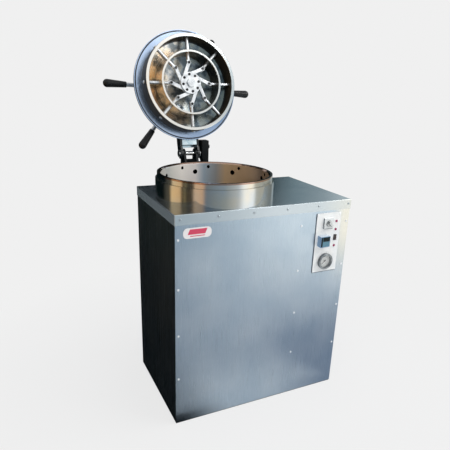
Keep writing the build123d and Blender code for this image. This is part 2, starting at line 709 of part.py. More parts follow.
def square_prism(x, z, width, height, y0, y1):
    return block((x - width / 2, x + width / 2), (y0, y1), (z - height / 2, z + height / 2))


def panel_cutouts():
    """Openings in the front panel and the control plate for what is mounted through them."""
    y0, y1 = PLATE_FACE_Y - 1, -FRAME_Y + 1
    body = CONTROLLER_BODY + 2 * PANEL_FIT
    rocker = [side + 2 * PANEL_FIT for side in ROCKER_BODY]
    cutters = [rod_y(GAUGE_BODY_R + PANEL_FIT, y0, y1, GAUGE_X, GAUGE_Z)]
    cutters.append(square_prism(CONTROLLER_X, CONTROLLER_Z, body, body, y0, y1))
    cutters.append(square_prism(SWITCH_X, ROCKER_Z, rocker[0], rocker[1], y0, y1))
    cutters.append(rod_y(SELECTOR_BUSH_R + PANEL_FIT, y0, y1, SELECTOR_X, SELECTOR_Z))
    cutters += [rod_y(LAMP_R + PANEL_FIT, y0, y1, SWITCH_X, z) for z in LAMP_Z]
    return cutters


def control_plate():
    outline = RectangleRounded(PLATE_WIDTH, PLATE_HEIGHT, PLATE_CORNER)
    plate = Pos(PLATE_X, -PANEL_Y, PLATE_Z) * Rot(90, 0, 0) * extrude(outline, PLATE_T)
    radius = PLATE_SCREW_R + SCREW_GAP
    screws = [rod_y(radius, PLATE_FACE_Y - 1, 1 - PANEL_Y, x, z) for x, z in plate_screw_spots()]
    return drill([plate], panel_cutouts() + screws)[0]


def gauge_case():
    """The pressure gauge's cup with its bezel lip and the pointer's pivot.  Its depth is along local Z."""
    case = rod(GAUGE_BODY_R, -GAUGE_DEPTH, 0) + rod(GAUGE_R, 0, GAUGE_PROUD)
    case = fillet(case.edges().group_by(Axis.Z)[-1], GAUGE_ROUND)
    pocket = rod(GAUGE_WINDOW_R + DIAL_UNDERCUT, -GAUGE_POCKET, GAUGE_PROUD - GAUGE_LIP_T)
    case = case - pocket - rod(GAUGE_WINDOW_R, 0, GAUGE_PROUD + 1)
    stem = rod(GAUGE_STEM_R, -GAUGE_DEPTH - GAUGE_STEM, -GAUGE_DEPTH)
    return gauge_place() * (case + stem + rod(PIVOT_R, -GAUGE_POCKET, PIVOT_HEIGHT - GAUGE_POCKET))


def gauge_place():
    return Pos(GAUGE_X, PLATE_FACE_Y, GAUGE_Z) * Rot(90, 0, 0)


def gauge_dial():
    low, high = -GAUGE_POCKET, DIAL_T - GAUGE_POCKET
    disc = rod(GAUGE_WINDOW_R + DIAL_UNDERCUT - DIAL_GAP, low, high)
    return gauge_place() * (disc - rod(PIVOT_R + DIAL_GAP, low, high + 1))


def gauge_glass():
    top = GAUGE_PROUD - GAUGE_LIP_T
    return gauge_place() * rod(GAUGE_WINDOW_R + DIAL_UNDERCUT - DIAL_GAP, top - GLASS_T, top)


def gauge_pointer():
    """The needle, at zero, with its hub on the pivot."""
    tip = GAUGE_WINDOW_R - POINTER_GAP
    outline = [(-POINTER_TAIL, -POINTER_ROOT), (-POINTER_TAIL, POINTER_ROOT),
               (tip, POINTER_TIP), (tip, -POINTER_TIP)]
    blade = extrude(make_face(Polyline(*outline, close=True)), POINTER_T)
    pointer = Pos(0, 0, POINTER_LIFT) * blade + rod(POINTER_HUB_R, POINTER_HUB[0], POINTER_HUB[1])
    pointer = pointer - rod(PIVOT_R + RUNNING, 0, GAUGE_PROUD)
    return gauge_place() * Pos(0, 0, -GAUGE_POCKET) * Rot(0, 0, POINTER_REST) * pointer


def gauge_line():
    """The copper tube from the gauge's stem to its boss on the vessel."""
    start = PLATE_FACE_Y + GAUGE_DEPTH + GAUGE_STEM
    corner_y = COLLAR_Y + GAUGE_LINE_Y
    corner = (GAUGE_X, corner_y, GAUGE_Z)
    points = [(GAUGE_X, start, GAUGE_Z), corner, (COLLAR_X + INSULATION_R, corner_y, GAUGE_Z)]
    path = FilletPolyline(*points, radius=GAUGE_LINE_BEND)
    section = Plane(origin=points[0], z_dir=(0, 1, 0)) * Circle(GAUGE_LINE_R)
    return sweep(section, path=path)


def controller_case():
    bezel = square_prism(CONTROLLER_X, CONTROLLER_Z, CONTROLLER_SIZE, CONTROLLER_SIZE,
                         PLATE_FACE_Y - CONTROLLER_PROUD, PLATE_FACE_Y)
    bezel = fillet(bezel.edges().filter_by(Axis.Y), CONTROLLER_CORNER)
    bezel = fillet(bezel.edges().group_by(Axis.Y)[0], CONTROLLER_ROUND)
    return bezel + square_prism(CONTROLLER_X, CONTROLLER_Z, CONTROLLER_BODY, CONTROLLER_BODY,
                                PLATE_FACE_Y, PLATE_FACE_Y + CONTROLLER_DEPTH)


def controller_keypad():
    """The flush overlay on the controller's face, with three raised membrane keys."""
    face = PLATE_FACE_Y - CONTROLLER_PROUD
    side = CONTROLLER_SIZE - 2 * KEYPAD_INSET
    keypad = square_prism(CONTROLLER_X, CONTROLLER_Z, side, side, face - KEYPAD_T, face)
    z = CONTROLLER_Z + KEY_AT[1]
    for i in range(3):
        x = CONTROLLER_X + KEY_AT[0] + i * KEY_PITCH
        keypad = keypad + square_prism(x, z, KEY_SIZE[0], KEY_SIZE[1], face - 2 * KEYPAD_T, face - KEYPAD_T)
    return keypad


def indicator_lamps():
    """Three lamps, each with its flange, lens and body."""
    lamps = []
    for z in LAMP_Z:
        lens = Pos(0, 0, LAMP_RIM_T) * Sphere(LAMP_R) & rod(LAMP_R, 0, 2 * LAMP_R)
        lamp = rod(LAMP_R + LAMP_RIM, 0, LAMP_RIM_T) + rod(LAMP_R, -LAMP_DEPTH, 0) + lens
        lamps.append(Pos(SWITCH_X, PLATE_FACE_Y, z) * Rot(90, 0, 0) * lamp)
    return lamps


def rocker_bezel():
    x, y, z = SWITCH_X, PLATE_FACE_Y, ROCKER_Z
    flange = square_prism(x, z, ROCKER_BEZEL[0], ROCKER_BEZEL[1], y - ROCKER_BEZEL_T, y)
    flange = fillet(flange.edges().filter_by(Axis.Y), ROCKER_CORNER)
    body = square_prism(x, z, ROCKER_BODY[0], ROCKER_BODY[1], y, y + ROCKER_DEPTH)
    inside = [side - 2 * wall for side, wall in zip(ROCKER_BODY, ROCKER_WALL)]
    well = square_prism(x, z, inside[0], inside[1], y - ROCKER_BEZEL_T - 1, y + ROCKER_WELL)
    socket = inside[0] / 2 + TRUNNION - PADDLE_GAP + 0.2
    return flange + body - well - rod_x(TRUNNION_R + RUNNING, x - socket, x + socket, y + ROCKER_AXIS, z)


def power_rocker():
    """The rocker, tipped to off, on two trunnions."""
    edge, heel = ROCKER_BODY[1] / 2 - ROCKER_WALL[1] - PADDLE_END_GAP, PADDLE_HEEL
    outline = [(-PADDLE_RISE, -edge), (-PADDLE_WAIST, 0), (-PADDLE_RISE, edge), (0, edge),
               (PADDLE_DEPTH, heel), (PADDLE_DEPTH, -heel), (0, -edge)]
    half = ROCKER_BODY[0] / 2 - ROCKER_WALL[0] - PADDLE_GAP
    end = half + TRUNNION
    paddle = plate_yz(outline, -half, half) + rod_x(TRUNNION_R, -end, end, 0, 0)
    return Pos(SWITCH_X, PLATE_FACE_Y + ROCKER_AXIS, ROCKER_Z) * Rot(-ROCKER_TILT, 0, 0) * paddle


def selector_switch():
    """The rotary switch's square escutcheon, and its body with the bush behind the panel."""
    x, y, z = SELECTOR_X, PLATE_FACE_Y, SELECTOR_Z
    escutcheon = square_prism(x, z, SELECTOR_PLATE, SELECTOR_PLATE, y - SELECTOR_PROUD, y)
    escutcheon = fillet(escutcheon.edges().filter_by(Axis.Y), SELECTOR_CORNER)
    hole = rod_y(SELECTOR_BUSH_R + SELECTOR_BUSH_GAP, y - SELECTOR_PROUD - 1, y + 1, x, z)
    body = square_prism(x, z, SELECTOR_BODY, SELECTOR_BODY, -FRAME_Y, -FRAME_Y + SELECTOR_DEPTH)
    body = body + rod_y(SELECTOR_BUSH_R, y - SELECTOR_PROUD + KNOB_GAP, -FRAME_Y, x, z)
    body = body - rod_y(SELECTOR_SHAFT_R + RUNNING, y - SELECTOR_PROUD, y + SHAFT_LENGTH + 2, x, z)
    return [escutcheon - hole, body]


def selector_knob():
    """The knob with its finger bar and shaft, which turns in the switch's bush."""
    skirt = rod(KNOB_R, 0, KNOB_SKIRT_T)
    skirt = fillet(skirt.edges().group_by(Axis.Z)[-1], KNOB_ROUND)
    bar = extrude(RectangleRounded(KNOB_BAR_WIDTH, 2 * (KNOB_R - KNOB_BAR_INSET), 3), KNOB_LENGTH)
    bar = fillet(bar.edges().group_by(Axis.Z)[-1], 1)
    face = SELECTOR_PROUD + KNOB_GAP
    knob = skirt + bar + rod(SELECTOR_SHAFT_R, -face - SHAFT_LENGTH, 1)
    width, length, depth = KNOB_MARK
    mark = Pos(0, KNOB_R - length / 2 - 2, KNOB_LENGTH) * Box(width, length, 2 * depth)
    place = Pos(SELECTOR_X, PLATE_FACE_Y - face, SELECTOR_Z)
    return place * Rot(90, 0, 0) * Rot(0, 0, KNOB_TURN) * (knob - mark)


# Pressure vessel and what is fitted to it

def at_vessel(shape):
    return Pos(COLLAR_X, COLLAR_Y, 0) * shape


def collar_ring():
    """The machined mouth ring: shoulder on the cover, blind holes for the locking bolts."""
    top, step, base = RIM_Z, RIM_Z - COLLAR_STEP, CABINET_HEIGHT
    outline = [(CHAMBER_R, NECK_Z), (CHAMBER_R, base), (COLLAR_BORE_R, base),
               (COLLAR_BORE_R, top - MOUTH_CHAMFER), (COLLAR_BORE_R + MOUTH_CHAMFER, top),
               (COLLAR_RIM_R, top), (COLLAR_RIM_R, step), (COLLAR_BASE_R, step),
               (COLLAR_BASE_R, base), (NECK_R, base), (NECK_R, NECK_Z)]
    ring = turned(outline)
    start = COLLAR_BORE_R - 4
    bolt_z = SEAT_Z - BOLT_LEVEL
    cutters = []
    for i in range(BOLT_COUNT):
        hole = rod_x(BOLT_R + BOLT_HOLE_GAP, start, BOLT_HOLE_FLOOR, 0, bolt_z)
        cutters.append(Rot(0, 0, i * 360 / BOLT_COUNT) * hole)
    for angle in RIM_PORT_ANGLES:
        port = rod_x(RIM_PORT_R, start, COLLAR_RIM_R - RIM_PORT_SKIN, 0, RIM_Z - RIM_PORT_DROP)
        cutters.append(Rot(0, 0, angle) * port)
    weep_z = CABINET_HEIGHT + WEEP_HOLE_RISE
    weep = rod_x(WEEP_HOLE_R, COLLAR_BASE_R - WEEP_HOLE_DEPTH, COLLAR_BASE_R + 1, 0, weep_z)
    cutters.append(Rot(0, 0, WEEP_HOLE_ANGLE) * weep)
    return at_vessel(drill([ring], cutters)[0])


def dished_body(radius, dish_radius, top):
    """A cylinder with a dished bottom, as a plain solid."""
    low = CHAMBER_FLOOR_Z - 2 * CHAMBER_WALL
    dish = rod(radius, low, SEAM_Z) & (Pos(0, 0, DISH_CENTRE_Z) * Sphere(dish_radius))
    return dish + rod(radius, SEAM_Z, top)


def chamber_shell():
    """The rolled wall, the dished bottom and the four legs, which are welded together, and the nozzles."""
    outer = dished_body(SHELL_R, DISH_R + CHAMBER_WALL, NECK_Z)
    inner = dished_body(CHAMBER_R, DISH_R, NECK_Z + 1)
    legs = [rod(VESSEL_LEG_R, TUBE, SEAM_Z, sx * VESSEL_LEG_X, sy * VESSEL_LEG_Y)
            for sx in (-1, 1) for sy in (-1, 1)]
    drain = rod(PIPE_R + NOZZLE_WALL, DRAIN_TOP_Z, CHAMBER_FLOOR_Z)
    steam = rod_x(PIPE_R + STEAM_NOZZLE_WALL, 0, RELIEF_OUT - RELIEF_FACE, RELIEF_Y, RELIEF_Z)
    boss = rod_x(GAUGE_BOSS_R, 0, INSULATION_R, GAUGE_LINE_Y, GAUGE_Z)
    shell = join([outer, drain, steam, boss]) - inner
    below = rod(2 * INSULATION_R, 0, SEAM_Z)
    bores = [rod(PIPE_BORE_R, DRAIN_TOP_Z - 1, CHAMBER_FLOOR_Z + 1)]
    bores.append(rod_x(PIPE_BORE_R, 0, RELIEF_OUT, RELIEF_Y, RELIEF_Z))
    bores.append(rod_x(GAUGE_TAP_R, 0, INSULATION_R + 1, GAUGE_LINE_Y, GAUGE_Z))
    for x, y in terminal_spots():
        bores.append(rod(TERMINAL_R + TERMINAL_GAP, TERMINAL_LOW_Z, SEAM_Z, x, y))
    dish_outside = Pos(0, 0, DISH_CENTRE_Z) * Sphere(DISH_R + CHAMBER_WALL + WELD_GAP)
    solids = [shell - below, shell & below] + [leg - dish_outside for leg in legs]
    return [at_vessel(solid) for solid in drill(solids, bores)]


def insulation_wrap():
    wrap = tube(INSULATION_R, SHELL_R + WOOL_GAP, SEAM_Z + INSULATION_RISE, NECK_Z - 2)
    steam = rod_x(PIPE_R + STEAM_NOZZLE_WALL + 1, 0, RELIEF_OUT, RELIEF_Y, RELIEF_Z)
    boss = rod_x(GAUGE_BOSS_R + 1, 0, RELIEF_OUT, GAUGE_LINE_Y, GAUGE_Z)
    return at_vessel(drill([wrap], [steam, boss])[0])


def terminal_spots():
    half_open = HEATER_OPEN_DEG / 2
    return [polar(loop, side * half_open) for loop in HEATER_LOOPS for side in (-1, 1)]


def heating_elements():
    """Three open loops of sheathed heater, each with two terminals through the dish."""
    elements = []
    for i, loop in enumerate(HEATER_LOOPS):
        ring = Torus(loop, HEATER_TUBE_R, major_angle=360 - HEATER_OPEN_DEG)
        element = Pos(0, 0, HEATER_Z) * Rot(0, 0, HEATER_OPEN_DEG / 2) * ring
        for x, y in terminal_spots()[2 * i:2 * i + 2]:
            element = element + rod(TERMINAL_R, TERMINAL_LOW_Z, HEATER_Z + TERMINAL_R, x, y)
        elements.append(at_vessel(element))
    return elements


def dish_height(radius):
    """Height of the dish's inner face at a radius."""
    return DISH_CENTRE_Z - sqrt(DISH_R ** 2 - radius ** 2)


def grid_leg_spots():
    return [polar(GRID_LEG_AT, GRID_LEG_ANGLE + i * 360 / GRID_LEGS) for i in range(GRID_LEGS)]


def grid_hole_spots(outer):
    """Middles of the grid's holes: a triangular pattern that leaves out the rim and the legs."""
    spots = []
    rows = int(outer / GRID_PITCH) + 2
    for row in range(-rows, rows + 1):
        for column in range(-rows - rows // 2, rows + rows // 2 + 1):
            x, y = (column + row / 2) * GRID_PITCH, row * GRID_PITCH * sqrt(3) / 2
            to_leg = min(hypot(x - leg_x, y - leg_y) for leg_x, leg_y in grid_leg_spots())
            inside = hypot(x, y) < outer - GRID_HOLE_R - GRID_MARGIN
            if inside and to_leg > GRID_HOLE_R + GRID_LEG_R + GRID_LEG_MARGIN:
                spots.append((x, y))
    return spots


def load_grid():
    """The perforated plate that the load stands on, over the water and the heaters."""
    outer = CHAMBER_R - GRID_GAP
    top = GRID_Z + GRID_T
    holes = [rod(GRID_HOLE_R, GRID_Z - 1, top + 1, x, y) for x, y in grid_hole_spots(outer)]
    plate = drill([rod(outer, GRID_Z, top)], holes)[0]
    foot_z = dish_height(GRID_LEG_AT + GRID_LEG_R) + GRID_FOOT_GAP
    legs = [rod(GRID_LEG_R, foot_z, GRID_Z, x, y) for x, y in grid_leg_spots()]
    return [at_vessel(solid) for solid in [plate] + legs]


def pipe_section(place, direction):
    return Plane(origin=place, z_dir=direction) * (Circle(PIPE_R) - Circle(PIPE_BORE_R))


def drain_pipe():
    """Down from the dish, round one bend and out through the back."""
    top = (COLLAR_X, COLLAR_Y, DRAIN_TOP_Z)
    corner = (COLLAR_X, COLLAR_Y, DRAIN_Z)
    end = (COLLAR_X, VALVE_Y - VALVE_HALF, DRAIN_Z)
    path = FilletPolyline(top, corner, end, radius=DRAIN_BEND)
    return sweep(pipe_section(top, (0, 0, -1)), path=path)


def drain_valve():
    """A ball valve: two hexagon ends, the body, its stem and the outlet stub."""
    half, body_half = VALVE_HALF, VALVE_BODY_HALF
    ends = [hexagon(VALVE_FLATS, -half, -body_half), hexagon(VALVE_FLATS, body_half, half)]
    body = join([rod(VALVE_BODY_R, -body_half, body_half)] + ends + [rod(PIPE_R, half, OUTLET_LENGTH)])
    body = body - rod(PIPE_BORE_R, -half - 1, OUTLET_LENGTH + 1)
    top = DRAIN_Z + VALVE_NECK_RISE
    neck = rod(VALVE_NECK_R, DRAIN_Z + VALVE_BODY_R / 2, top, COLLAR_X, VALVE_Y)
    socket = rod(VALVE_STEM_R + RUNNING, DRAIN_Z + STEM_SEAT, top + 1, COLLAR_X, VALVE_Y)
    return Pos(COLLAR_X, VALVE_Y, DRAIN_Z) * Rot(-90, 0, 0) * body + neck - socket


def drain_lever():
    """The quarter-turn lever on the valve's stem, across the pipe when shut."""
    z = DRAIN_Z + VALVE_NECK_RISE + LEVER_LIFT
    bar = extrude(SlotOverall(LEVER_LENGTH, LEVER_WIDTH), LEVER_T)
    nut = hexagon(STEM_NUT_FLATS, z + LEVER_T, z + LEVER_T + STEM_NUT_T)
    stem = rod(VALVE_STEM_R, DRAIN_Z + STEM_SEAT + STEM_END_GAP, z + LEVER_T, COLLAR_X, VALVE_Y)
    return Pos(COLLAR_X + LEVER_SHIFT, VALVE_Y, z) * bar + stem + Pos(COLLAR_X, VALVE_Y, 0) * nut


def safety_valve():
    """A spring-loaded relief valve on the vessel's steam nozzle, with its outlet through the back."""
    x, y, z = RELIEF_X, RELIEF_Y, RELIEF_Z
    low, shoulder = RELIEF_BODY
    top = RELIEF_BONNET_TOP
    inlet = rod_x(RELIEF_INLET_R, x - RELIEF_FACE, x, y, z)
    body = rod(RELIEF_BODY_R, z + low, z + shoulder, x, y)
    bonnet = rod(RELIEF_BONNET_R, z + shoulder, z + top, x, y)
    cap = Pos(x, y, 0) * hexagon(RELIEF_CAP_FLATS, z + top, z + top + RELIEF_CAP_T)
    outlet = rod_y(PIPE_R, y, RELIEF_END_Y, x, z)
    nut = Pos(x, PANEL_Y, z) * Rot(-90, 0, 0) * hexagon(BACKNUT_FLATS, 0, BACKNUT_T)
    valve = join([body, inlet, bonnet, cap, outlet, nut])
    return valve - rod_y(PIPE_BORE_R, y + RELIEF_PASSAGE, RELIEF_END_Y + 1, x, z)


def contactor_box():
    """The switchgear enclosure on the right-hand panel: an open box, its cover and the contactor."""
    top = CABINET_HEIGHT - ENCLOSURE_DROP
    x, y, z = (FRAME_X - ENCLOSURE_DEPTH, FRAME_X), ENCLOSURE_SPAN_Y, (top - ENCLOSURE_HEIGHT, top)
    wall = ENCLOSURE_SHEET
    shell = block(x, y, z)
    shell = fillet(shell.edges().filter_by(Axis.X), ENCLOSURE_CORNER)
    shell = shell - block((x[0] - 1, x[1] - wall), (y[0] + wall, y[1] - wall), (z[0] + wall, z[1] - wall))
    cover = block((x[0] - ENCLOSURE_COVER_T, x[0]), y, z)
    cover = fillet(cover.edges().filter_by(Axis.X), ENCLOSURE_CORNER)
    depth, width, height = CONTACTOR_SIZE
    back, middle, foot = x[1] - wall, (y[0] + y[1]) / 2, z[0] + CONTACTOR_RISE
    contactor = block((back - depth, back), (middle - width / 2, middle + width / 2), (foot, foot + height))
    return [shell, cover, contactor]


def cable_gland():
    """The mains inlet's gland in the back panel."""
    nut = hexagon(GLAND_FLATS, 0, GLAND_NUT) + rod(GLAND_DOME_R, GLAND_NUT, GLAND_LENGTH)
    nut = fillet(nut.edges().group_by(Axis.Z)[-1], 3)
    locknut = hexagon(GLAND_FLATS, -SHEET - GLAND_LOCKNUT_T, -SHEET)
    gland = join([nut, rod(GLAND_THREAD_R, -GLAND_INSIDE, 0), locknut])
    gland = gland - rod(GLAND_BORE_R, -GLAND_INSIDE - 1, GLAND_LENGTH + 1)
    return Pos(GLAND_X, PANEL_Y, GLAND_Z) * Rot(-90, 0, 0) * gland


# Hinge

def hinge_bracket():
    """The bracket bolted through the back into the frame: back plate, two lugs, web and spring shelf."""
    back, eye_front, eye_back = HALF_Y, HINGE_Y - LUG_EYE_R, HINGE_Y + LUG_EYE_R
    side = BRACKET_WIDTH / 2
    pad_top = CABINET_HEIGHT - COVER_FLANGE - BRACKET_PAD_GAP
    plate = block((-side, side), (back, back + LUG_PLATE), (BRACKET_LOW_Z, SHELF_Z))
    pad = block((-side, side), (PANEL_Y, back), (BRACKET_LOW_Z, pad_top))
    outline = [(back, pad_top), (back, SHELF_Z - LUG_SHOULDER), (eye_front, HINGE_Z), (HINGE_Y, HINGE_Z),
               (eye_back, HINGE_Z), (eye_back, SHELF_Z - SHELF_T), (back + LUG_PLATE, pad_top)]
    lugs = []
    for x0, x1 in ((-LUG_OUT_X, -LUG_IN_X), (LUG_IN_X, LUG_OUT_X)):
        lugs.append(plate_yz(outline, x0, x1) + rod_x(LUG_EYE_R, x0, x1, HINGE_Y, HINGE_Z))
    web_y = (eye_front - BRACKET_WEB_T / 2, eye_front + BRACKET_WEB_T / 2)
    web = block((-LUG_IN_X, LUG_IN_X), web_y, (SHELF_Z - BRACKET_WEB_DROP, HINGE_Z - LUG_EYE_R))
    shelf_x = (LUG_IN_X, HOUSING_OUT_X + SHELF_LIP)
    shelf = block(shelf_x, (eye_front, eye_back), (SHELF_Z - SHELF_T, SHELF_Z))
    bracket = join([plate, pad, web, shelf] + lugs)
    bracket = bracket - rod_x(HINGE_PIN_R + RUNNING, -side, side, HINGE_Y, HINGE_Z)
    return drill([Pos(COLLAR_X, 0, 0) * bracket], bracket_bolt_holes())[0]


def spring_housing():
    """The counterbalance spring's housing, which the hinge pin's end turns in."""
    x0, x1 = HOUSING_IN_X, HOUSING_OUT_X
    waist, high = HINGE_Z - HOUSING_WAIST, HINGE_Z + HOUSING_RISE
    outline = [(x0 + HOUSING_TAPER, SHELF_Z), (x1, SHELF_Z), (x1, high), (x0, high), (x0, waist)]
    back = Plane.XZ.offset(-HINGE_Y - LUG_EYE_R)
    housing = extrude(make_face(back * Polyline(*outline, close=True)), 2 * LUG_EYE_R, dir=(0, -1, 0))
    housing = fillet(housing.edges().filter_by(Axis.Z), HOUSING_CORNER)
    housing = housing - rod_x(HINGE_PIN_R + RUNNING, x0 - 1, x1 - HOUSING_END, HINGE_Y, HINGE_Z)
    bolt = hexagon(HOUSING_BOLT_FLATS, 0, HOUSING_BOLT_T) + rod(HOUSING_WASHER_R, 0, HOUSING_WASHER_T)
    bolt = Pos(x1, HINGE_Y, HINGE_Z + HOUSING_RISE / 2) * Rot(0, 90, 0) * bolt
    return Pos(COLLAR_X, 0, 0) * (housing + bolt)


# Lid, built shut in its own frame and then swung open

def open_lid(shape):
    hinge = Pos(COLLAR_X, HINGE_Y, HINGE_Z) * Rot(-LID_OPEN, 0, 0)
    return hinge * Pos(0, -HINGE_BEHIND, -HINGE_RISE) * shape


def lid_plate():
    """The domed cover with its flat flange, a groove for the gasket and a hole for the bush."""
    outside = cap_radius(DOME_R, DOME_RISE)
    flange = rod(LID_R, 0, LID_FLANGE_T)
    flange = fillet(flange.edges().group_by(Axis.Z)[-1], FLANGE_ROUND)
    dome = (Pos(0, 0, DOME_TOP - outside) * Sphere(outside)) & rod(DOME_R, LID_FLANGE_T - 1, DOME_TOP)
    hollow = (Pos(0, 0, HOLLOW_RISE - HOLLOW_R) * Sphere(HOLLOW_R)) & rod(DOME_R, 0, DOME_TOP)
    seat = rod(BUSH_FLAT_R, BUSH_SEAT, DOME_TOP + 1)
    groove = tube(GASKET_R_OUT + GROOVE_GAP, GASKET_R_IN - GROOVE_GAP, 0, GASKET_T)
    return open_lid((flange + dome) - hollow - seat - groove - rod(BUSH_R + BUSH_FIT, 0, DOME_TOP))


def plug_ring():
    """The ring under the flange that the locking bolts slide through."""
    ring = tube(PLUG_R, PLUG_R - PLUG_WALL, -PLUG_HEIGHT, 0)
    ring = chamfer(ring.edges().group_by(Axis.Z)[0], PLUG_CHAMFER)
    return open_lid(drill([ring], bolt_ways(PLUG_R))[0])


def bolt_ways(radius):
    """Holes for the eight bolts through a ring of this outer radius."""
    hole = rod_x(BOLT_R + BOLT_SLIDE_GAP, radius - 30, radius + 5, 0, -BOLT_LEVEL)
    return [Rot(0, 0, i * 360 / BOLT_COUNT) * hole for i in range(BOLT_COUNT)]


def guide_ring():
    """The inner ring that guides the bolts, up to the dome's inner face."""
    top = HOLLOW_RISE - HOLLOW_R + sqrt(HOLLOW_R ** 2 - GUIDE_R ** 2)
    ring = tube(GUIDE_R, GUIDE_R_IN, -PLUG_HEIGHT, top - 0.05)
    ring = chamfer(ring.edges().group_by(Axis.Z)[0], GUIDE_CHAMFER)
    return open_lid(drill([ring], bolt_ways(GUIDE_R))[0])


def lid_gasket():
    """The gasket in the flange's groove, a little proud of it."""
    return open_lid(tube(GASKET_R_OUT, GASKET_R_IN, -GASKET_PROUD, GASKET_T))


def spindle_bush():
    """The spindle's bush and packing nut, bedded in the middle of the lid."""
    nut = ARM_SEAT + ARM_CENTRE_T
    sleeve = rod(BUSH_R, HOLLOW_RISE - BUSH_TAIL, nut)
    sleeve = sleeve + hexagon(2 * (BUSH_R + BUSH_NUT_WALL), nut, nut + BUSH_NUT_T)
    sleeve = sleeve + rod(ARM_OUT_X - ARM_PLATE - BUSH_FLANGE_GAP, BUSH_SEAT, ARM_SEAT)
    return open_lid(sleeve - rod(SPINDLE_R + RUNNING, 0, WHEEL_LEVEL))


def lid_arm():
    """The arm: two side plates with the hinge eyes, webs, a foot on the flange and a centre plate."""
    inner, eye_y, eye_z = ARM_OUT_X - ARM_PLATE, HINGE_BEHIND, HINGE_RISE
    low, high, tip = DOME_TOP + ARM_LIFT, ARM_TOP, -ARM_OVERHANG
    over_flange, end = LID_FLANGE_T + ARM_LIFT, ARM_OVERHANG + ARM_CENTRE_LIP
    foot = (ARM_FOOT_Y, ARM_FOOT_Y + ARM_FOOT_LENGTH)
    outline = [(tip, low), (DOME_R - ARM_SLOPE, low), (DOME_R, over_flange),
               (foot[1] + ARM_HEEL, over_flange), (eye_y, eye_z - ARM_EYE_R),
               (eye_y, eye_z + ARM_EYE_R), (foot[1] + ARM_CREST, high), (tip, high)]
    pieces = []
    for x0, x1 in ((-ARM_OUT_X, -inner), (inner, ARM_OUT_X)):
        pieces.append(plate_yz(outline, x0, x1) + rod_x(ARM_EYE_R, x0, x1, eye_y, eye_z))
    across, web = (-inner, inner), ARM_WEB_T
    pieces.append(block(across, foot, (LID_FLANGE_T, LID_FLANGE_T + ARM_FOOT_HEIGHT)))
    pieces.append(block(across, (foot[1], foot[1] + ARM_LOW_WEB), (over_flange, over_flange + web)))
    pieces.append(block(across, (end, foot[1] + ARM_HIGH_WEB), (high - web, high)))
    centre = block(across, (tip, end), (ARM_SEAT, ARM_SEAT + ARM_CENTRE_T))
    pieces.append(centre - rod(BUSH_R + ARM_BUSH_GAP, 0, WHEEL_LEVEL))
    for x in (-ARM_BOLT_X, ARM_BOLT_X):
        for y in (tip + ARM_BOLT_INSET, -tip - ARM_BOLT_INSET):
            head = hexagon(ARM_BOLT_FLATS, 0, ARM_BOLT_HEAD_T)
            pieces.append(Pos(x, y, ARM_SEAT + ARM_CENTRE_T) * head)
    arm = join(pieces) - rod_x(HINGE_PIN_R + RUNNING, -ARM_OUT_X - 1, ARM_OUT_X + 1, eye_y, eye_z)
    return open_lid(arm)


def hinge_pin():
    """The pin that turns with the lid: a head, a shoulder and the end in the spring housing."""
    near = ARM_OUT_X + PIN_END_GAP
    far, rim = near + PIN_HEAD_T, HINGE_PIN_R + PIN_HEAD_WALL
    pin = rod_x(HINGE_PIN_R, -near, ARM_OUT_X + PIN_TAIL, HINGE_BEHIND, HINGE_RISE)
    head = rod_x(rim, -far, -near, HINGE_BEHIND, HINGE_RISE)
    shoulder = rod_x(rim, near, far, HINGE_BEHIND, HINGE_RISE)
    return open_lid(pin + head + shoulder)


def drive_spindle():
    """The spindle with the two discs, the eight hub pins between them and an end nut at each end."""
    back = LINK_FACE - DISC_T
    front = LINK_FACE + LINK_T + 2 * SIDE_GAP
    face = front + DISC_T
    top = WHEEL_LEVEL + WHEEL_HUB_HEIGHT / 2
    flats = 2 * (SPINDLE_R + SPINDLE_NUT_WALL)
    parts = [rod(SPINDLE_R, -back, top), hexagon(flats, top, top + WHEEL_NUT_T)]
    parts += [hexagon(flats, -face - SPINDLE_NUT_T, -face), rod(DISC_R, -LINK_FACE, -back)]
    parts += [rod(SPINDLE_R + CORE_WALL, -front, -LINK_FACE), rod(DISC_R, -face, -front)]
    for i in range(BOLT_COUNT):
        x, y = polar(HUB_PIN_AT, i * 360 / BOLT_COUNT - HUB_SWIRL)
        parts.append(rod(HUB_PIN_R, -face - HUB_PIN_PROUD, -back - 1, x, y))
    return open_lid(join(parts))


def bar_between(angle, reach):
    """A wheel bar through the hub, its length to the ends of its two grips."""
    inside = GRIP_LENGTH - GRIP_SOCKET
    return Rot(0, 0, angle) * rod_x(BAR_R, inside - reach[1], reach[0] - inside, 0, WHEEL_LEVEL)


def handwheel():
    """The hub and the two bars through it."""
    low = WHEEL_LEVEL - WHEEL_HUB_HEIGHT / 2
    high = WHEEL_LEVEL + WHEEL_HUB_HEIGHT / 2
    hub = rod(WHEEL_HUB_R, low, high)
    hub = chamfer(hub.edges().group_by(Axis.Z)[-1], WHEEL_HUB_CHAMFER)
    bars = [bar_between(LONG_BAR_ANGLE, LONG_BAR_REACH), bar_between(CROSS_BAR_ANGLE, CROSS_BAR_REACH)]
    return open_lid(join([hub] + bars) - rod(SPINDLE_R + PRESS_FIT, low - 1, high + 1))


def bar_grip(reach, angle):
    """A moulded grip, thicker at its end, on the bar."""
    start = reach - GRIP_LENGTH
    swell = GRIP_R_OUT
    shape = [(0, start), (GRIP_R_IN, start), (GRIP_R_OUT, reach - swell), (0, reach - swell)]
    grip = turned(shape) + Pos(0, 0, reach - swell) * Sphere(swell)
    grip = grip - rod(BAR_R + PRESS_FIT, start - 1, start + GRIP_SOCKET)
    return Pos(0, 0, WHEEL_LEVEL) * Rot(0, 0, angle) * Rot(0, 90, 0) * grip


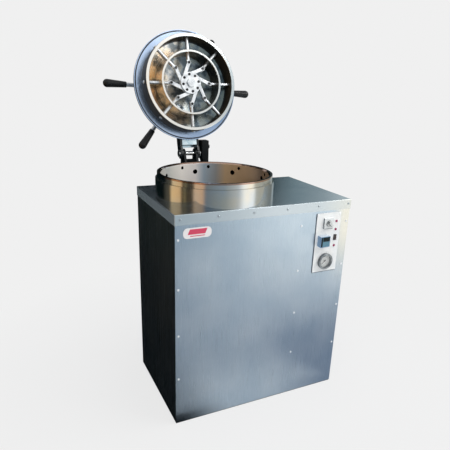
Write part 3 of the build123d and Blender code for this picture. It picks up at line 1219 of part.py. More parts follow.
def bar_grips():
    places = [(LONG_BAR_REACH, LONG_BAR_ANGLE), (CROSS_BAR_REACH, CROSS_BAR_ANGLE)]
    grips = []
    for reach, angle in places:
        grips.append(open_lid(bar_grip(reach[0], angle)))
        grips.append(open_lid(bar_grip(reach[1], angle + 180)))
    return grips


def locking_bolt(i):
    """A bolt drawn back, with the flat and the headed pin that its link turns on."""
    inner_end, flat_end = BOLT_PIN_AT - BOLT_TAIL, BOLT_PIN_AT + BOLT_FLAT
    bolt = rod_x(BOLT_R, inner_end, BOLT_TIP_R, 0, -BOLT_LEVEL)
    bolt = chamfer(bolt.edges().group_by(Axis.X)[-1], BOLT_TIP_CHAMFER)
    flat_z = (-LINK_FACE - 2 * BOLT_R, -LINK_FACE)
    bolt = bolt - block((inner_end - 1, flat_end), (-2 * BOLT_R, 2 * BOLT_R), flat_z)
    low, high = -LINK_FACE - LINK_T - BOLT_HEAD_TOP, -LINK_FACE - LINK_T - 2 * SIDE_GAP
    pin = rod(BOLT_PIN_R, low, -LINK_FACE + 1, BOLT_PIN_AT) + rod(BOLT_HEAD_R, low, high, BOLT_PIN_AT)
    return open_lid(Rot(0, 0, i * 360 / BOLT_COUNT) * (bolt + pin))


def bolt_link(i):
    """The flat link from a bolt's pin to its hub pin; the hub-end eye is slack."""
    link = extrude(Pos(-LINK_LENGTH / 2, 0, 0) * Rectangle(LINK_LENGTH, LINK_WIDTH), LINK_T)
    link = link + rod(LINK_EYE_R, 0, LINK_T) + rod(LINK_EYE_R, 0, LINK_T, -LINK_LENGTH)
    link = link - rod(BOLT_PIN_R + RUNNING, -1, LINK_T + 1)
    link = link - rod(HUB_PIN_R + LINK_SLACK, -1, LINK_T + 1, -LINK_LENGTH)
    place = Pos(BOLT_PIN_AT, 0, -LINK_FACE - LINK_T - SIDE_GAP) * Rot(0, 0, LINK_LEAN)
    return open_lid(Rot(0, 0, i * 360 / BOLT_COUNT) * place * link)


def nodes():
    """Every node's name and its solids."""
    parts = {
        "cabinet_frame": cabinet_frame(),
        "front_panel": front_panel(),
        "left_panel": side_panel(-1),
        "right_panel": side_panel(1),
        "back_panel": back_panel(),
        "top_cover": top_cover(),
        "case_screws": case_screws(),
        "front_badge": front_badge(),
        "control_plate": control_plate(),
        "selector_switch": selector_switch(),
        "selector_knob": selector_knob(),
        "controller_case": controller_case(),
        "controller_keypad": controller_keypad(),
        "rocker_bezel": rocker_bezel(),
        "power_rocker": power_rocker(),
        "indicator_lamps": indicator_lamps(),
        "gauge_case": gauge_case(),
        "gauge_dial": gauge_dial(),
        "gauge_pointer": gauge_pointer(),
        "gauge_glass": gauge_glass(),
        "gauge_line": gauge_line(),
        "collar_ring": collar_ring(),
        "chamber_shell": chamber_shell(),
        "insulation_wrap": insulation_wrap(),
        "heating_elements": heating_elements(),
        "load_grid": load_grid(),
        "drain_pipe": drain_pipe(),
        "drain_valve": drain_valve(),
        "drain_lever": drain_lever(),
        "safety_valve": safety_valve(),
        "contactor_box": contactor_box(),
        "cable_gland": cable_gland(),
        "hinge_bracket": hinge_bracket(),
        "spring_housing": spring_housing(),
        "lid_plate": lid_plate(),
        "plug_ring": plug_ring(),
        "guide_ring": guide_ring(),
        "lid_gasket": lid_gasket(),
        "spindle_bush": spindle_bush(),
        "lid_arm": lid_arm(),
        "hinge_pin": hinge_pin(),
        "drive_spindle": drive_spindle(),
        "handwheel": handwheel(),
        "bar_grips": bar_grips(),
    }
    for i in range(BOLT_COUNT):
        parts[f"locking_bolt_{i + 1}"] = locking_bolt(i)
        parts[f"bolt_link_{i + 1}"] = bolt_link(i)
    return parts


os.makedirs("parts", exist_ok=True)
for name, shape in nodes().items():
    solids = shape if isinstance(shape, list) else [shape]
    whole = Compound(children=[solid for piece in solids for solid in piece.solids()])
    export_step(whole, f"parts/{name}.step")
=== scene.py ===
import json
import math

import bmesh
import bpy
from mathutils import Matrix, Vector


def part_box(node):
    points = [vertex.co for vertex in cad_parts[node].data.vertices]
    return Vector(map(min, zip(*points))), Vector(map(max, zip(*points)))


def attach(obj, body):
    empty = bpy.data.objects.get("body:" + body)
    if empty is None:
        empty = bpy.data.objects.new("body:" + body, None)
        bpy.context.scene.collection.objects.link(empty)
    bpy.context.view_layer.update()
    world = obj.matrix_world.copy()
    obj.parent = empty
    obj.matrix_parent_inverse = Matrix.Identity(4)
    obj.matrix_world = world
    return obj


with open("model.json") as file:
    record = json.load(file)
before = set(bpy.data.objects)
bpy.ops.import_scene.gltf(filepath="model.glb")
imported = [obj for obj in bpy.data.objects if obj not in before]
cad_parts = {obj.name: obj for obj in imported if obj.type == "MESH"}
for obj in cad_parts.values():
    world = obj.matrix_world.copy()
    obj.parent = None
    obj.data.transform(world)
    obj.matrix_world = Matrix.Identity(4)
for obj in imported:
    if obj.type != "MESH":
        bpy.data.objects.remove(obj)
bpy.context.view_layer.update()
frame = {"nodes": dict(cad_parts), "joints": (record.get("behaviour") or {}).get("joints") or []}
nodes = frame["nodes"]

# --- Casing panels ------------------------------------------------------------------------------
# Front and back, screwed to the frame, and two sides, welded to it, of 1.5 mm stainless sheet.
# The sheet's face was brushed by a grit belt. Its grain runs up the panels and gives a soft mirror,
# broken into fine upright streaks.

mm = 0.001


def linear(code):
    """The linear colour of an sRGB hex code."""
    parts = [int(code[i:i + 2], 16) / 255 for i in (1, 3, 5)]
    return [*(c / 12.92 if c <= 0.04045 else ((c + 0.055) / 1.055) ** 2.4 for c in parts), 1]


def feed(finish, node, inputs):
    """Sets a node's inputs to values, hex colours, sockets, or nodes, whose first output in use is taken."""
    for name, value in inputs.items():
        if isinstance(value, bpy.types.Node):
            value = next(output for output in value.outputs if output.enabled)
        if isinstance(value, bpy.types.NodeSocket):
            finish.node_tree.links.new(value, node.inputs[name])
        else:
            node.inputs[name].default_value = linear(value) if isinstance(value, str) else value


def add(finish, kind, inputs=None, stops=(), **settings):
    """Adds a shader node with its settings, its inputs and, on a ramp, its (place, colour) stops."""
    node = finish.node_tree.nodes.new("ShaderNode" + kind)
    for name, value in settings.items():
        setattr(node, name, value)
    feed(finish, node, inputs or {})
    for i, (place, colour) in enumerate(stops):
        stop = node.color_ramp.elements[i] if i < 2 else node.color_ramp.elements.new(place)
        stop.position, stop.color = place, linear(colour) if isinstance(colour, str) else colour
    return node


def surface(finish, inputs):
    """Sets the inputs of a finish's main shader."""
    feed(finish, finish.node_tree.nodes["Principled BSDF"], inputs)


def new_finish(name, inputs):
    """A new material whose main shader has these inputs."""
    finish = bpy.data.materials.new(name)
    finish.use_nodes = True
    surface(finish, inputs)
    return finish


def dress(finish, *names):
    """Gives CAD nodes this finish."""
    for name in names:
        data = nodes[name].data
        data.materials.clear()
        data.materials.append(finish)


def greys(low, high):
    """Two grey stops, for a ramp that turns noise into a narrow range."""
    return [(0.3, (low, low, low, 1)), (0.7, (high, high, high, 1))]


def where(finish, *tests):
    """A mask of the spots that pass every test: a value, LESS_THAN or GREATER_THAN, and a limit."""
    mask = 1.0
    for value, test, limit in tests:
        passed = add(finish, "Math", {0: value, 1: limit}, operation=test)
        mask = add(finish, "Math", {0: mask, 1: passed}, operation="MULTIPLY")
    return mask


def painted(finish, base, *coats):
    """A base colour with (mask, colour) coats over it, the last one on top."""
    for mask, colour in coats:
        base = add(finish, "Mix", {"Factor": mask, 6: base, 7: colour}, data_type="RGBA")
    return base


def brushed_sheet(name, grain, smoothest, roughest):
    """Brushed stainless with its grain along an axis, between two roughnesses, and its colour."""
    finish = new_finish(name, {"Metallic": 1.0})
    place = add(finish, "TexCoord").outputs["Object"]
    # The real scratches are 0.1 mm apart; these are 1.5 mm apart, so that they show.
    scratch_spacing, scratch_length, scratch_depth = 1.5 * mm, 250 * mm, 0.2 * mm
    scale = [1 / scratch_spacing] * 3
    scale["XYZ".index(grain)] = 1 / scratch_length
    stretched = add(finish, "Mapping", {"Vector": place, "Scale": scale})
    scratches = add(finish, "TexNoise", {"Vector": stretched, "Scale": 1, "Detail": 3})
    # Wiping marks and slight waves in the sheet are about two hands across.
    smear_width = 182 * mm
    smears = add(finish, "TexNoise", {"Vector": place, "Scale": 1 / smear_width, "Detail": 3})
    shade = add(finish, "ValToRGB", {"Fac": smears}, stops=[(0.3, "#A4B4C2"), (0.7, "#B6C2CC")])
    lines = add(finish, "ValToRGB", {"Fac": scratches}, stops=greys(0.9, 1.0))
    colour = add(finish, "Mix", {"Factor": 1.0, 6: shade, 7: lines}, data_type="RGBA", blend_type="MULTIPLY")
    dull = add(finish, "ValToRGB", {"Fac": scratches}, stops=greys(smoothest, roughest))
    bump = add(finish, "Bump", {"Height": scratches, "Strength": 0.12, "Distance": scratch_depth})
    surface(finish, {"Base Color": colour, "Roughness": dull, "Normal": bump})
    return finish, colour


panel_steel, colour = brushed_sheet("brushed_stainless_panel", "Z", 0.24, 0.38)
# The front is painted pale at its upper right corner, beside the controls, a painted highlight.
spot = add(panel_steel, "SeparateXYZ", {"Vector": add(panel_steel, "TexCoord").outputs["Object"]}).outputs
polished_from = {"X": (290 * mm, 375 * mm), "Z": (500 * mm, 780 * mm)}
wiped = where(panel_steel, (spot["Y"], "LESS_THAN", 0.0))
for axis, (start, end) in polished_from.items():
    ramp = add(panel_steel, "MapRange", {"Value": spot[axis], "From Min": start, "From Max": end},
               interpolation_type="SMOOTHSTEP")
    wiped = add(panel_steel, "Math", {0: wiped, 1: ramp}, operation="MULTIPLY")
surface(panel_steel, {"Base Color": painted(panel_steel, colour, (wiped, "#D0CEC6"))})
dress(panel_steel, "front_panel", "left_panel", "right_panel", "back_panel")

# --- Top cover ----------------------------------------------------------------------------------
# A pan of the same sheet, folded down 40 mm all round and screwed over the panels' upper edges.
# Its grain runs across. The fold was dressed by hand after bending, and looks almost matt.

cover_steel, colour = brushed_sheet("brushed_stainless_cover", "X", 0.16, 0.26)
low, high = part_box("top_cover")
face_depth, front_bend = 2 * mm, 5 * mm
spot = add(cover_steel, "SeparateXYZ", {"Vector": add(cover_steel, "TexCoord").outputs["Object"]}).outputs
# The fold and a strip along the front edge are painted paler towards the right, a painted shade and
# highlight.
fold = add(cover_steel, "Math", {0: where(cover_steel, (spot["Z"], "LESS_THAN", high.z - face_depth)),
                                 1: where(cover_steel, (spot["Y"], "LESS_THAN", low.y + front_bend))},
           operation="MAXIMUM")
along = add(cover_steel, "MapRange", {"Value": spot["X"], "From Min": low.x, "From Max": high.x})
handled = add(cover_steel, "ValToRGB", {"Fac": along}, stops=[
    (0.0, "#AEBAC0"), (0.5, "#B7C0C6"), (0.8, "#B6BFC4"), (1.0, "#C9CBC6")])
surface(cover_steel, {
    "Base Color": painted(cover_steel, colour, (fold, handled)),
    "Metallic": add(cover_steel, "MapRange", {"Value": fold, "To Min": 1.0, "To Max": 0.6})})
dress(cover_steel, "top_cover")

# --- Base frame and switchgear box --------------------------------------------------------------
# Square mild-steel tube welded into a frame, and a folded steel enclosure inside it.
# Both are powder-coated grey, which gives a dull sheen with a slight orange peel.


def roughen(finish, width, strength, depth, detail=2):
    """Raises an uneven grain on a finish, of this width and depth."""
    place = add(finish, "TexCoord").outputs["Object"]
    grain = add(finish, "TexNoise", {"Vector": place, "Scale": 1 / width, "Detail": detail})
    bump = add(finish, "Bump", {"Height": grain, "Strength": strength, "Distance": depth})
    surface(finish, {"Normal": bump})


powder_grey = new_finish("powder_coated_steel", {"Roughness": 0.45, "Base Color": "#5A6064"})
roughen(powder_grey, 1.67 * mm, 0.2, 0.2 * mm)
dress(powder_grey, "cabinet_frame", "contactor_box")

# --- Case screws --------------------------------------------------------------------------------
# Pan-head screws through the casing and the hinge bracket's hexagon bolts, of zinc-plated steel.
# The plating is paler and smoother than the sheet, and clouded a little where it was handled.


def cloud(finish, width, detail, shades=None, gloss=None):
    """Soft patches of this width, between two (place, colour) shades, two roughnesses, or both."""
    place = add(finish, "TexCoord").outputs["Object"]
    patches = add(finish, "TexNoise", {"Vector": place, "Scale": 1 / width, "Detail": detail})
    if gloss:
        surface(finish, {"Roughness": add(finish, "ValToRGB", {"Fac": patches}, stops=greys(*gloss))})
    if shades:
        colour = add(finish, "ValToRGB", {"Fac": patches}, stops=shades)
        surface(finish, {"Base Color": colour})
        return colour


zinc = new_finish("zinc_plated_steel", {"Roughness": 0.28})
shade = cloud(zinc, 11.1 * mm, 2, shades=[(0.35, "#A3ACB4"), (0.65, "#C6CDD2")])
# The panels' screws are painted near-white and less metallic, a painted highlight, and the cover's keep the
# clouded zinc.
height = add(zinc, "SeparateXYZ", {"Vector": add(zinc, "TexCoord").outputs["Object"]}).outputs["Z"]
worn = where(zinc, (height, "GREATER_THAN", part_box("top_cover")[0].z))
surface(zinc, {"Base Color": painted(zinc, "#F4F6F8", (worn, shade)),
               "Metallic": add(zinc, "MapRange", {"Value": worn, "To Min": 0.35, "To Max": 1.0})})
dress(zinc, "case_screws")

# --- Front badge --------------------------------------------------------------------------------
# A small steel oval glued to the front, fired with white enamel, and on it a plain red band and rule.
# The enamel is glassy, with slow ripples, and slightly thick at its edge.


def new_object(name, data):
    """A new object in the scene that holds this mesh, text, lamp or camera."""
    holder = bpy.data.objects.new(name, data)
    bpy.context.scene.collection.objects.link(holder)
    return holder


def made_of(name, shape, finish):
    """An object made from a bmesh, of one finish."""
    mesh = bpy.data.meshes.new(name)
    shape.to_mesh(mesh)
    shape.free()
    mesh.materials.append(finish)
    return new_object(name, mesh)


def prism(name, outline, depth, finish, body, place):
    """A piece from an outline in its own X and Y, thick along Z, set at a place and riding on a body."""
    shape = bmesh.new()
    face = shape.faces.new([shape.verts.new((x, y, 0)) for x, y in outline])
    raised = bmesh.ops.extrude_face_region(shape, geom=[face])
    bmesh.ops.translate(shape, vec=(0, 0, depth),
                        verts=[v for v in raised["geom"] if isinstance(v, bmesh.types.BMVert)])
    bmesh.ops.recalc_face_normals(shape, faces=shape.faces)
    piece = made_of(name, shape, finish)
    piece.matrix_world = place
    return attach(piece, body)


def on_front(x, y, z):
    """A place on the front whose X is to the right, Y up and Z towards the operator."""
    return Matrix.Translation((x, y, z)) @ Matrix.Rotation(math.radians(90), 4, "X")


def enamel(name, code):
    """Glass fired onto steel, with ripples that show in what it reflects."""
    finish = new_finish(name, {"Roughness": 0.12, "Coat Weight": 0.5, "Base Color": code})
    roughen(finish, 3.85 * mm, 0.1, 0.2 * mm, detail=1)
    return finish


dress(enamel("vitreous_enamel_white", "#F2EDEC"), "front_badge")
red_enamel = enamel("vitreous_enamel_red", "#D63A5C")
low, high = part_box("front_badge")
middle = (low + high) / 2
lean, enamel_depth = 0.43, 0.3 * mm
for name, half_width, half_height, lift in (("badge_band", 34.5 * mm, 10 * mm, 5 * mm),
                                            ("badge_rule", 29 * mm, 1.6 * mm, -11.2 * mm)):
    slant = lean * half_height
    band = [(-half_width - slant, -half_height), (half_width - slant, -half_height),
            (half_width + slant, half_height), (-half_width + slant, half_height)]
    at = on_front(middle.x, low.y, middle.z + lift)
    prism(name, band, enamel_depth, red_enamel, "cabinet", at)

# --- Control plate ------------------------------------------------------------------------------
# A 4 mm aluminium plate, powder-coated white and screwed to the front, that carries the controls.
# The coat is almost matt, with a faint peel, and is slightly grey where hands rub it.


def bare_edges(finish, node, strip):
    """A mask of the node's left sides, and of a strip along its lower edge, where shade is painted."""
    place = add(finish, "TexCoord").outputs
    facing = add(finish, "SeparateXYZ", {"Vector": place["Normal"]}).outputs["X"]
    height = add(finish, "SeparateXYZ", {"Vector": place["Object"]}).outputs["Z"]
    left_side = where(finish, (facing, "LESS_THAN", -0.5))
    low_strip = where(finish, (height, "LESS_THAN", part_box(node)[0].z + strip))
    return add(finish, "Math", {0: left_side, 1: low_strip}, operation="MAXIMUM")


white_coat = new_finish("powder_coated_aluminium", {"Roughness": 0.42})
shade = cloud(white_coat, 45.5 * mm, 4, shades=[(0.35, "#F0F3F4"), (0.65, "#FAFAF8")])
roughen(white_coat, 1.43 * mm, 0.15, 0.2 * mm)
# The plate's left sides and lower edge are painted dark grey, a painted shade and shadow.
chipped = bare_edges(white_coat, "control_plate", 3 * mm)
surface(white_coat, {"Base Color": painted(white_coat, shade, (chipped, "#5E6A76"))})
dress(white_coat, "control_plate")

# --- Rotary selector ----------------------------------------------------------------------------
# A four-position switch clamped through the plate, with a white escutcheon and a grey knob on its shaft.
# Both are glass-filled nylon from a spark-eroded tool, which leaves a fine matt texture.


def moulding(name, code, roughness):
    """Moulded plastic, in one colour."""
    finish = new_finish(name, {"Roughness": roughness, "Base Color": code})
    # The real texture is 0.05 mm; this is 0.4 mm, so that it shows close to.
    roughen(finish, 0.4 * mm, 0.25, 0.08 * mm)
    return finish


def two_tone(name, front, sides, roughness, axis="Y", least=-0.5):
    """A moulding with a second colour wherever its normal, along the axis, is more than this."""
    finish = moulding(name, front, roughness)
    facing = add(finish, "SeparateXYZ", {"Vector": add(finish, "TexCoord").outputs["Normal"]}).outputs[axis]
    side = where(finish, (facing, "GREATER_THAN", least))
    surface(finish, {"Base Color": painted(finish, front, (side, sides))})
    return finish


dress(two_tone("moulded_grey_knob", "#D6D9D8", "#4A4E50", 0.3), "selector_knob")
white_nylon = moulding("moulded_white_nylon", "#EEF1F1", 0.4)
# The escutcheon's lower edge and left side are painted dark grey, a painted shade and shadow.
grime = bare_edges(white_nylon, "selector_switch", 2.5 * mm)
surface(white_nylon, {"Base Color": painted(white_nylon, "#EEF1F1", (grime, "#6A7278"))})
dress(white_nylon, "selector_switch")

# --- Mains rocker -------------------------------------------------------------------------------
# A rocker of dark red polycarbonate, lit from inside when on, in a black bezel snapped into the plate.
# The rocker is glossy and nearly black when off. The cable gland at the back is of the bezel's nylon.

dress(moulding("moulded_black_nylon", "#15181B", 0.4), "rocker_bezel", "cable_gland")
dress(moulding("lit_red_polycarbonate", "#26090F", 0.2), "power_rocker")

# --- Indicator lamps ----------------------------------------------------------------------------
# Three neon lamps pushed into the plate, each with a moulded red polycarbonate lens for a head.
# The lens is smooth outside and cut into small facets behind, which sparkle a little.

red_lens = new_finish("red_polycarbonate_lens", {"Base Color": "#9A2858", "Roughness": 0.2})
facet_width, facet_depth = 1.11 * mm, 0.3 * mm
place = add(red_lens, "TexCoord").outputs["Object"]
facets = add(red_lens, "TexVoronoi", {"Vector": place, "Scale": 1 / facet_width})
surface(red_lens, {"Normal": add(red_lens, "Bump", {"Height": facets.outputs["Distance"], "Strength": 0.3,
                                                    "Distance": facet_depth})})
dress(red_lens, "indicator_lamps")

# --- Process controller -------------------------------------------------------------------------
# A 48 mm controller in a blue-grey ABS case, clamped through the plate, with a keypad film on its face.
# The film is polyester, printed teal on its back, so it is glossy and a little dusty.

# The case's top is painted paler, a painted highlight from the light above.
dress(two_tone("moulded_blue_grey_abs", "#7C9CBC", "#C4D0DA", 0.35, "Z", 0.5), "controller_case")
teal_film = new_finish("printed_polyester_film", {"Base Color": "#4C8298"})
cloud(teal_film, 3.33 * mm, 3, gloss=(0.16, 0.3))
dress(teal_film, "controller_keypad")
# The display's window and the strip beside the keys are tinted so dark that they hardly reflect.
display_black = moulding("tinted_acrylic_window", "#06181A", 0.5)
surface(display_black, {"Specular IOR Level": 0.2})
low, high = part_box("controller_keypad")
middle = (low + high) / 2
window_depth = 0.4 * mm
for name, left, right, bottom, top in (("controller_display", -12.5, 20.5, 2, 20.5),
                                       ("controller_edge_strip", -21.5, -15, -20.5, 20.5)):
    window = [(x * mm, y * mm) for x, y in ((left, bottom), (right, bottom), (right, top), (left, top))]
    at = on_front(middle.x, low.y, middle.z)
    prism(name, window, window_depth, display_black, "cabinet", at)

# --- Pressure gauge -----------------------------------------------------------------------------
# A 71 mm gauge in a pressed steel case, with an aluminium dial printed in black and a flat glass.
# The steel has darkened in blotches. The needle rests at zero, because the vessel is open.


def tarnished(name, bright, dark):
    """A metal that has darkened in blotches, where it is duller too."""
    finish = new_finish(name, {"Metallic": 1.0})
    cloud(finish, 18.2 * mm, 4, shades=[(0.35, dark), (0.6, bright)], gloss=(0.4, 0.26))
    return finish


dress(tarnished("blackened_gauge_steel", "#8E9396", "#5E6367"), "gauge_case")
# The dial's white is stoved on, and matt with the tooth of the rolled sheet. The real tooth is 0.05 mm;
# this is 0.8 mm, so that it shows.
dial_white = new_finish("printed_aluminium_dial", {"Roughness": 0.5, "Base Color": "#FFFFFC"})
roughen(dial_white, 0.833 * mm, 0.1, 0.1 * mm, detail=1)
dress(dial_white, "gauge_dial")
dial_black = moulding("black_dial_print", "#141414", 0.5)
dress(dial_black, "gauge_pointer")
low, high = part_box("gauge_dial")
middle = (low + high) / 2
zero_turn, sweep_turn, divisions, labelled = 220, 270, 40, 10
mark_rim, print_lift = 25.8 * mm, 0.1 * mm
shape = bmesh.new()
for i in range(divisions + 1):
    inner, half = (21.8 * mm, 0.4 * mm) if i % labelled == 0 else (24 * mm, 0.2 * mm)
    turn = Matrix.Rotation(math.radians(zero_turn - sweep_turn * i / divisions), 4, "Z")
    corners = [(inner, -half), (mark_rim, -half), (mark_rim, half), (inner, half)]
    shape.faces.new([shape.verts.new(turn @ Vector((x, y, print_lift))) for x, y in corners])
marks = made_of("dial_marks", shape, dial_black)
marks.matrix_world = on_front(middle.x, low.y, middle.z)
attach(marks, "cabinet")
number_radius, number_height, number_depth = 17.8 * mm, 6.2 * mm, 0.05 * mm
numbers = divisions // labelled + 1
for i in range(numbers):
    turn = math.radians(zero_turn - sweep_turn * i / (numbers - 1))
    text = bpy.data.curves.new(f"dial_number_{i}", "FONT")
    text.body, text.size, text.extrude = str(i), number_height, number_depth
    text.align_x, text.align_y = "CENTER", "CENTER"
    text.materials.append(dial_black)
    number = new_object(f"dial_number_{i}", text)
    number.matrix_world = on_front(middle.x + number_radius * math.cos(turn), low.y - print_lift,
                                   middle.z + number_radius * math.sin(turn))
    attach(number, "cabinet")
# A thin flat pane shows as its reflection alone, so it is nearly clear and bends nothing.
clear_glass = new_finish("gauge_window_glass", {
    "Base Color": "#F6FAFA", "Roughness": 0.03, "Alpha": 0.07, "IOR": 1.45})
dress(clear_glass, "gauge_glass")

# --- Mouth ring ---------------------------------------------------------------------------------
# A heavy stainless ring, turned on a lathe and welded to the vessel's neck above the cover.
# Turning leaves fine rings round it, and years of steam have warmed its colour in patches.

low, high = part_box("collar_ring")
ring_middle = Vector(((low.x + high.x) / 2, (low.y + high.y) / 2, 0))
bore_radius, bore_skin = 221 * mm, 0.8 * mm
rim_radius, rim_skin = 237 * mm, 1 * mm
turned = new_finish("turned_stainless", {"Metallic": 1.0})
place = add(turned, "TexCoord").outputs["Object"]
# The tool's marks are 0.3 mm apart; these are 2 mm apart, so that they show.
tool_mark, mark_length, mark_depth = 2 * mm, 333 * mm, 0.2 * mm
flattened = add(turned, "Mapping", {
    "Vector": place, "Scale": (1 / mark_length, 1 / mark_length, 1 / tool_mark)})
rings = add(turned, "TexNoise", {"Vector": flattened, "Scale": 1, "Detail": 3})
bump = add(turned, "Bump", {"Height": rings, "Strength": 0.1, "Distance": mark_depth})
shade = cloud(turned, 111 * mm, 2, shades=[(0.35, "#B9BFC4"), (0.65, "#CBC3B4")])
out = add(turned, "VectorMath", {0: place, 1: ring_middle}, operation="SUBTRACT")
flat = add(turned, "VectorMath", {0: out, 1: (1, 1, 0)}, operation="MULTIPLY")
radius = add(turned, "VectorMath", {0: flat}, operation="LENGTH")
spot = add(turned, "SeparateXYZ", {"Vector": out}).outputs
# The bore is made mostly not metallic, and round it is painted a ring of reflections, brown, straw,
# blue-grey and white.
bore = where(turned, (radius, "LESS_THAN", bore_radius + bore_skin))
turn = add(turned, "Math", {0: spot["Y"], 1: spot["X"]}, operation="ARCTAN2")
share = add(turned, "Math", {0: turn, 1: math.pi}, operation="DIVIDE")
tint = add(turned, "ValToRGB", {"Fac": share}, stops=[
    (0.0, "#7A6450"), (0.16, "#B0906E"), (0.30, "#C2A480"), (0.36, "#9A9A98"), (0.44, "#A6B6C2"),
    (0.50, "#F4EEEA"), (0.60, "#FFFAF2"), (0.72, "#D8DAD4"), (1.0, "#8C7A66")])
# The rim's top is coloured pink-brown.
brown_depth = 6.5 * mm
rim = where(turned, (spot["Z"], "GREATER_THAN", high.z - brown_depth),
            (radius, "GREATER_THAN", bore_radius + bore_skin))
# The blind holes in the bore's wall are painted near-black, a painted shade.
holes_top, holes_bottom = 8 * mm, 70 * mm
holes = where(turned, (radius, "GREATER_THAN", bore_radius + bore_skin),
              (radius, "LESS_THAN", rim_radius - rim_skin), (spot["Z"], "LESS_THAN", high.z - holes_top),
              (spot["Z"], "GREATER_THAN", high.z - holes_bottom))
surface(turned, {
    "Base Color": painted(turned, shade, (bore, tint), (rim, "#A58A7C"), (holes, "#14110F")),
    "Roughness": add(turned, "ValToRGB", {"Fac": rings}, stops=greys(0.1, 0.18)),
    "Metallic": add(turned, "MapRange", {"Value": bore, "To Min": 1.0, "To Max": 0.15}),
    "Normal": bump})
dress(turned, "collar_ring")

# --- Vessel -------------------------------------------------------------------------------------
# A rolled chamber with a dished bottom, its load grid and its drain pipe, welded up from stainless.
# Pickling after welding leaves the steel satin and even.

satin = new_finish("pickled_stainless", {"Metallic": 1.0})
cloud(satin, 71.4 * mm, 5, shades=[(0.3, "#A7A9A8"), (0.7, "#BFC3C5")], gloss=(0.3, 0.46))
dress(satin, "chamber_shell", "load_grid", "drain_pipe")

# --- Heating elements ---------------------------------------------------------------------------
# Three loops of mineral-filled tube, with their terminals through the dished bottom.
# The nickel-alloy sheath has scaled brown and grey in service, and is dull.

sheath = new_finish("oxidised_heater_sheath", {"Metallic": 1.0, "Roughness": 0.5})
cloud(sheath, 22.2 * mm, 5, shades=[(0.3, "#4F4A44"), (0.7, "#8A8272")])
dress(sheath, "heating_elements")

# --- Insulation ---------------------------------------------------------------------------------
# A blanket of bonded glass wool, wrapped round the vessel's wall.
# It is straw-coloured and quite matt, with soft tufts.

wool = new_finish("glass_wool_blanket", {"Roughness": 0.95, "Sheen Weight": 0.3})
tuft_width, tuft_depth, tuft_detail = 6.25 * mm, 4 * mm, 6
cloud(wool, tuft_width, tuft_detail, shades=[(0.3, "#C9BE9C"), (0.7, "#E9E2CB")])
roughen(wool, tuft_width, 0.9, tuft_depth, tuft_detail)
dress(wool, "insulation_wrap")

# --- Pipe fittings ------------------------------------------------------------------------------
# The drain valve, safety valve and lid bush are turned from brass bar; the gauge line is drawn copper.
# Both are satin, and browner where they have tarnished. The drain's lever is steel dipped in vinyl.

dress(tarnished("turned_brass", "#D8B978", "#A98A4E"), "drain_valve", "safety_valve", "spindle_bush")
dress(tarnished("drawn_copper", "#D6977A", "#A8684C"), "gauge_line")
dress(moulding("vinyl_dipped_steel", "#8E1B1B", 0.35), "drain_lever")

# --- Hinge --------------------------------------------------------------------------------------
# A steel bracket bolted to the frame, a ground pin, and the closed housing of the lid's spring.
# The bracket and the housing are stove-enamelled black, which is glossy and a little uneven.

stoved = new_finish("stove_enamelled_black", {
    "Roughness": 0.35, "Specular IOR Level": 0.2, "Base Color": "#070D10"})
roughen(stoved, 8.33 * mm, 0.15, 0.6 * mm)
dress(stoved, "hinge_bracket", "spring_housing")
polished = new_finish("polished_stainless", {"Metallic": 1.0})
cloud(polished, 16.7 * mm, 4, shades=[(0.3, "#C3C7C9"), (0.7, "#E6E8E8")], gloss=(0.08, 0.2))
dress(polished, "hinge_pin")

# --- Lid arm ------------------------------------------------------------------------------------
# Two side plates joined by webs, welded up from steel plate and bolted to the lid's flange.
# The side plates are enamelled black, and the webs between them are bare, bright and clouded.

arm_steel = new_finish("enamelled_and_bare_steel", {})
low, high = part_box("lid_arm")
web_half = 34.5 * mm
across = add(arm_steel, "SeparateXYZ", {"Vector": add(arm_steel, "TexCoord").outputs["Object"]}).outputs["X"]
off_middle = add(arm_steel, "Math", {0: across, 1: (low.x + high.x) / 2}, operation="SUBTRACT")
from_middle = add(arm_steel, "Math", {0: off_middle}, operation="ABSOLUTE")
side_plate = where(arm_steel, (from_middle, "GREATER_THAN", web_half))
bare = cloud(arm_steel, 14.3 * mm, 4, shades=[(0.3, "#AFC6D2"), (0.7, "#DCE8EE")], gloss=(0.2, 0.36))
surface(arm_steel, {
    "Base Color": painted(arm_steel, bare, (side_plate, "#14191C")),
    "Metallic": add(arm_steel, "MapRange", {"Value": side_plate, "To Min": 1.0, "To Max": 0.0})})
dress(arm_steel, "lid_arm")

# --- Lid plate ----------------------------------------------------------------------------------
# A pressed stainless dome with a thick flange, faced on a lathe in fine circles round the spindle.
# The circles spread each highlight across the lid. The hollow is painted with reflections, from gold to
# grey.

wheel_turn = next(joint for joint in frame["joints"] if joint["name"] == "handwheel_turn")
lid_axis, lid_middle = Vector(wheel_turn["axis"]), Vector(wheel_turn["pos_m"])
wheel_level = 79.5 * mm  # the wheel's joint above the flange's underside


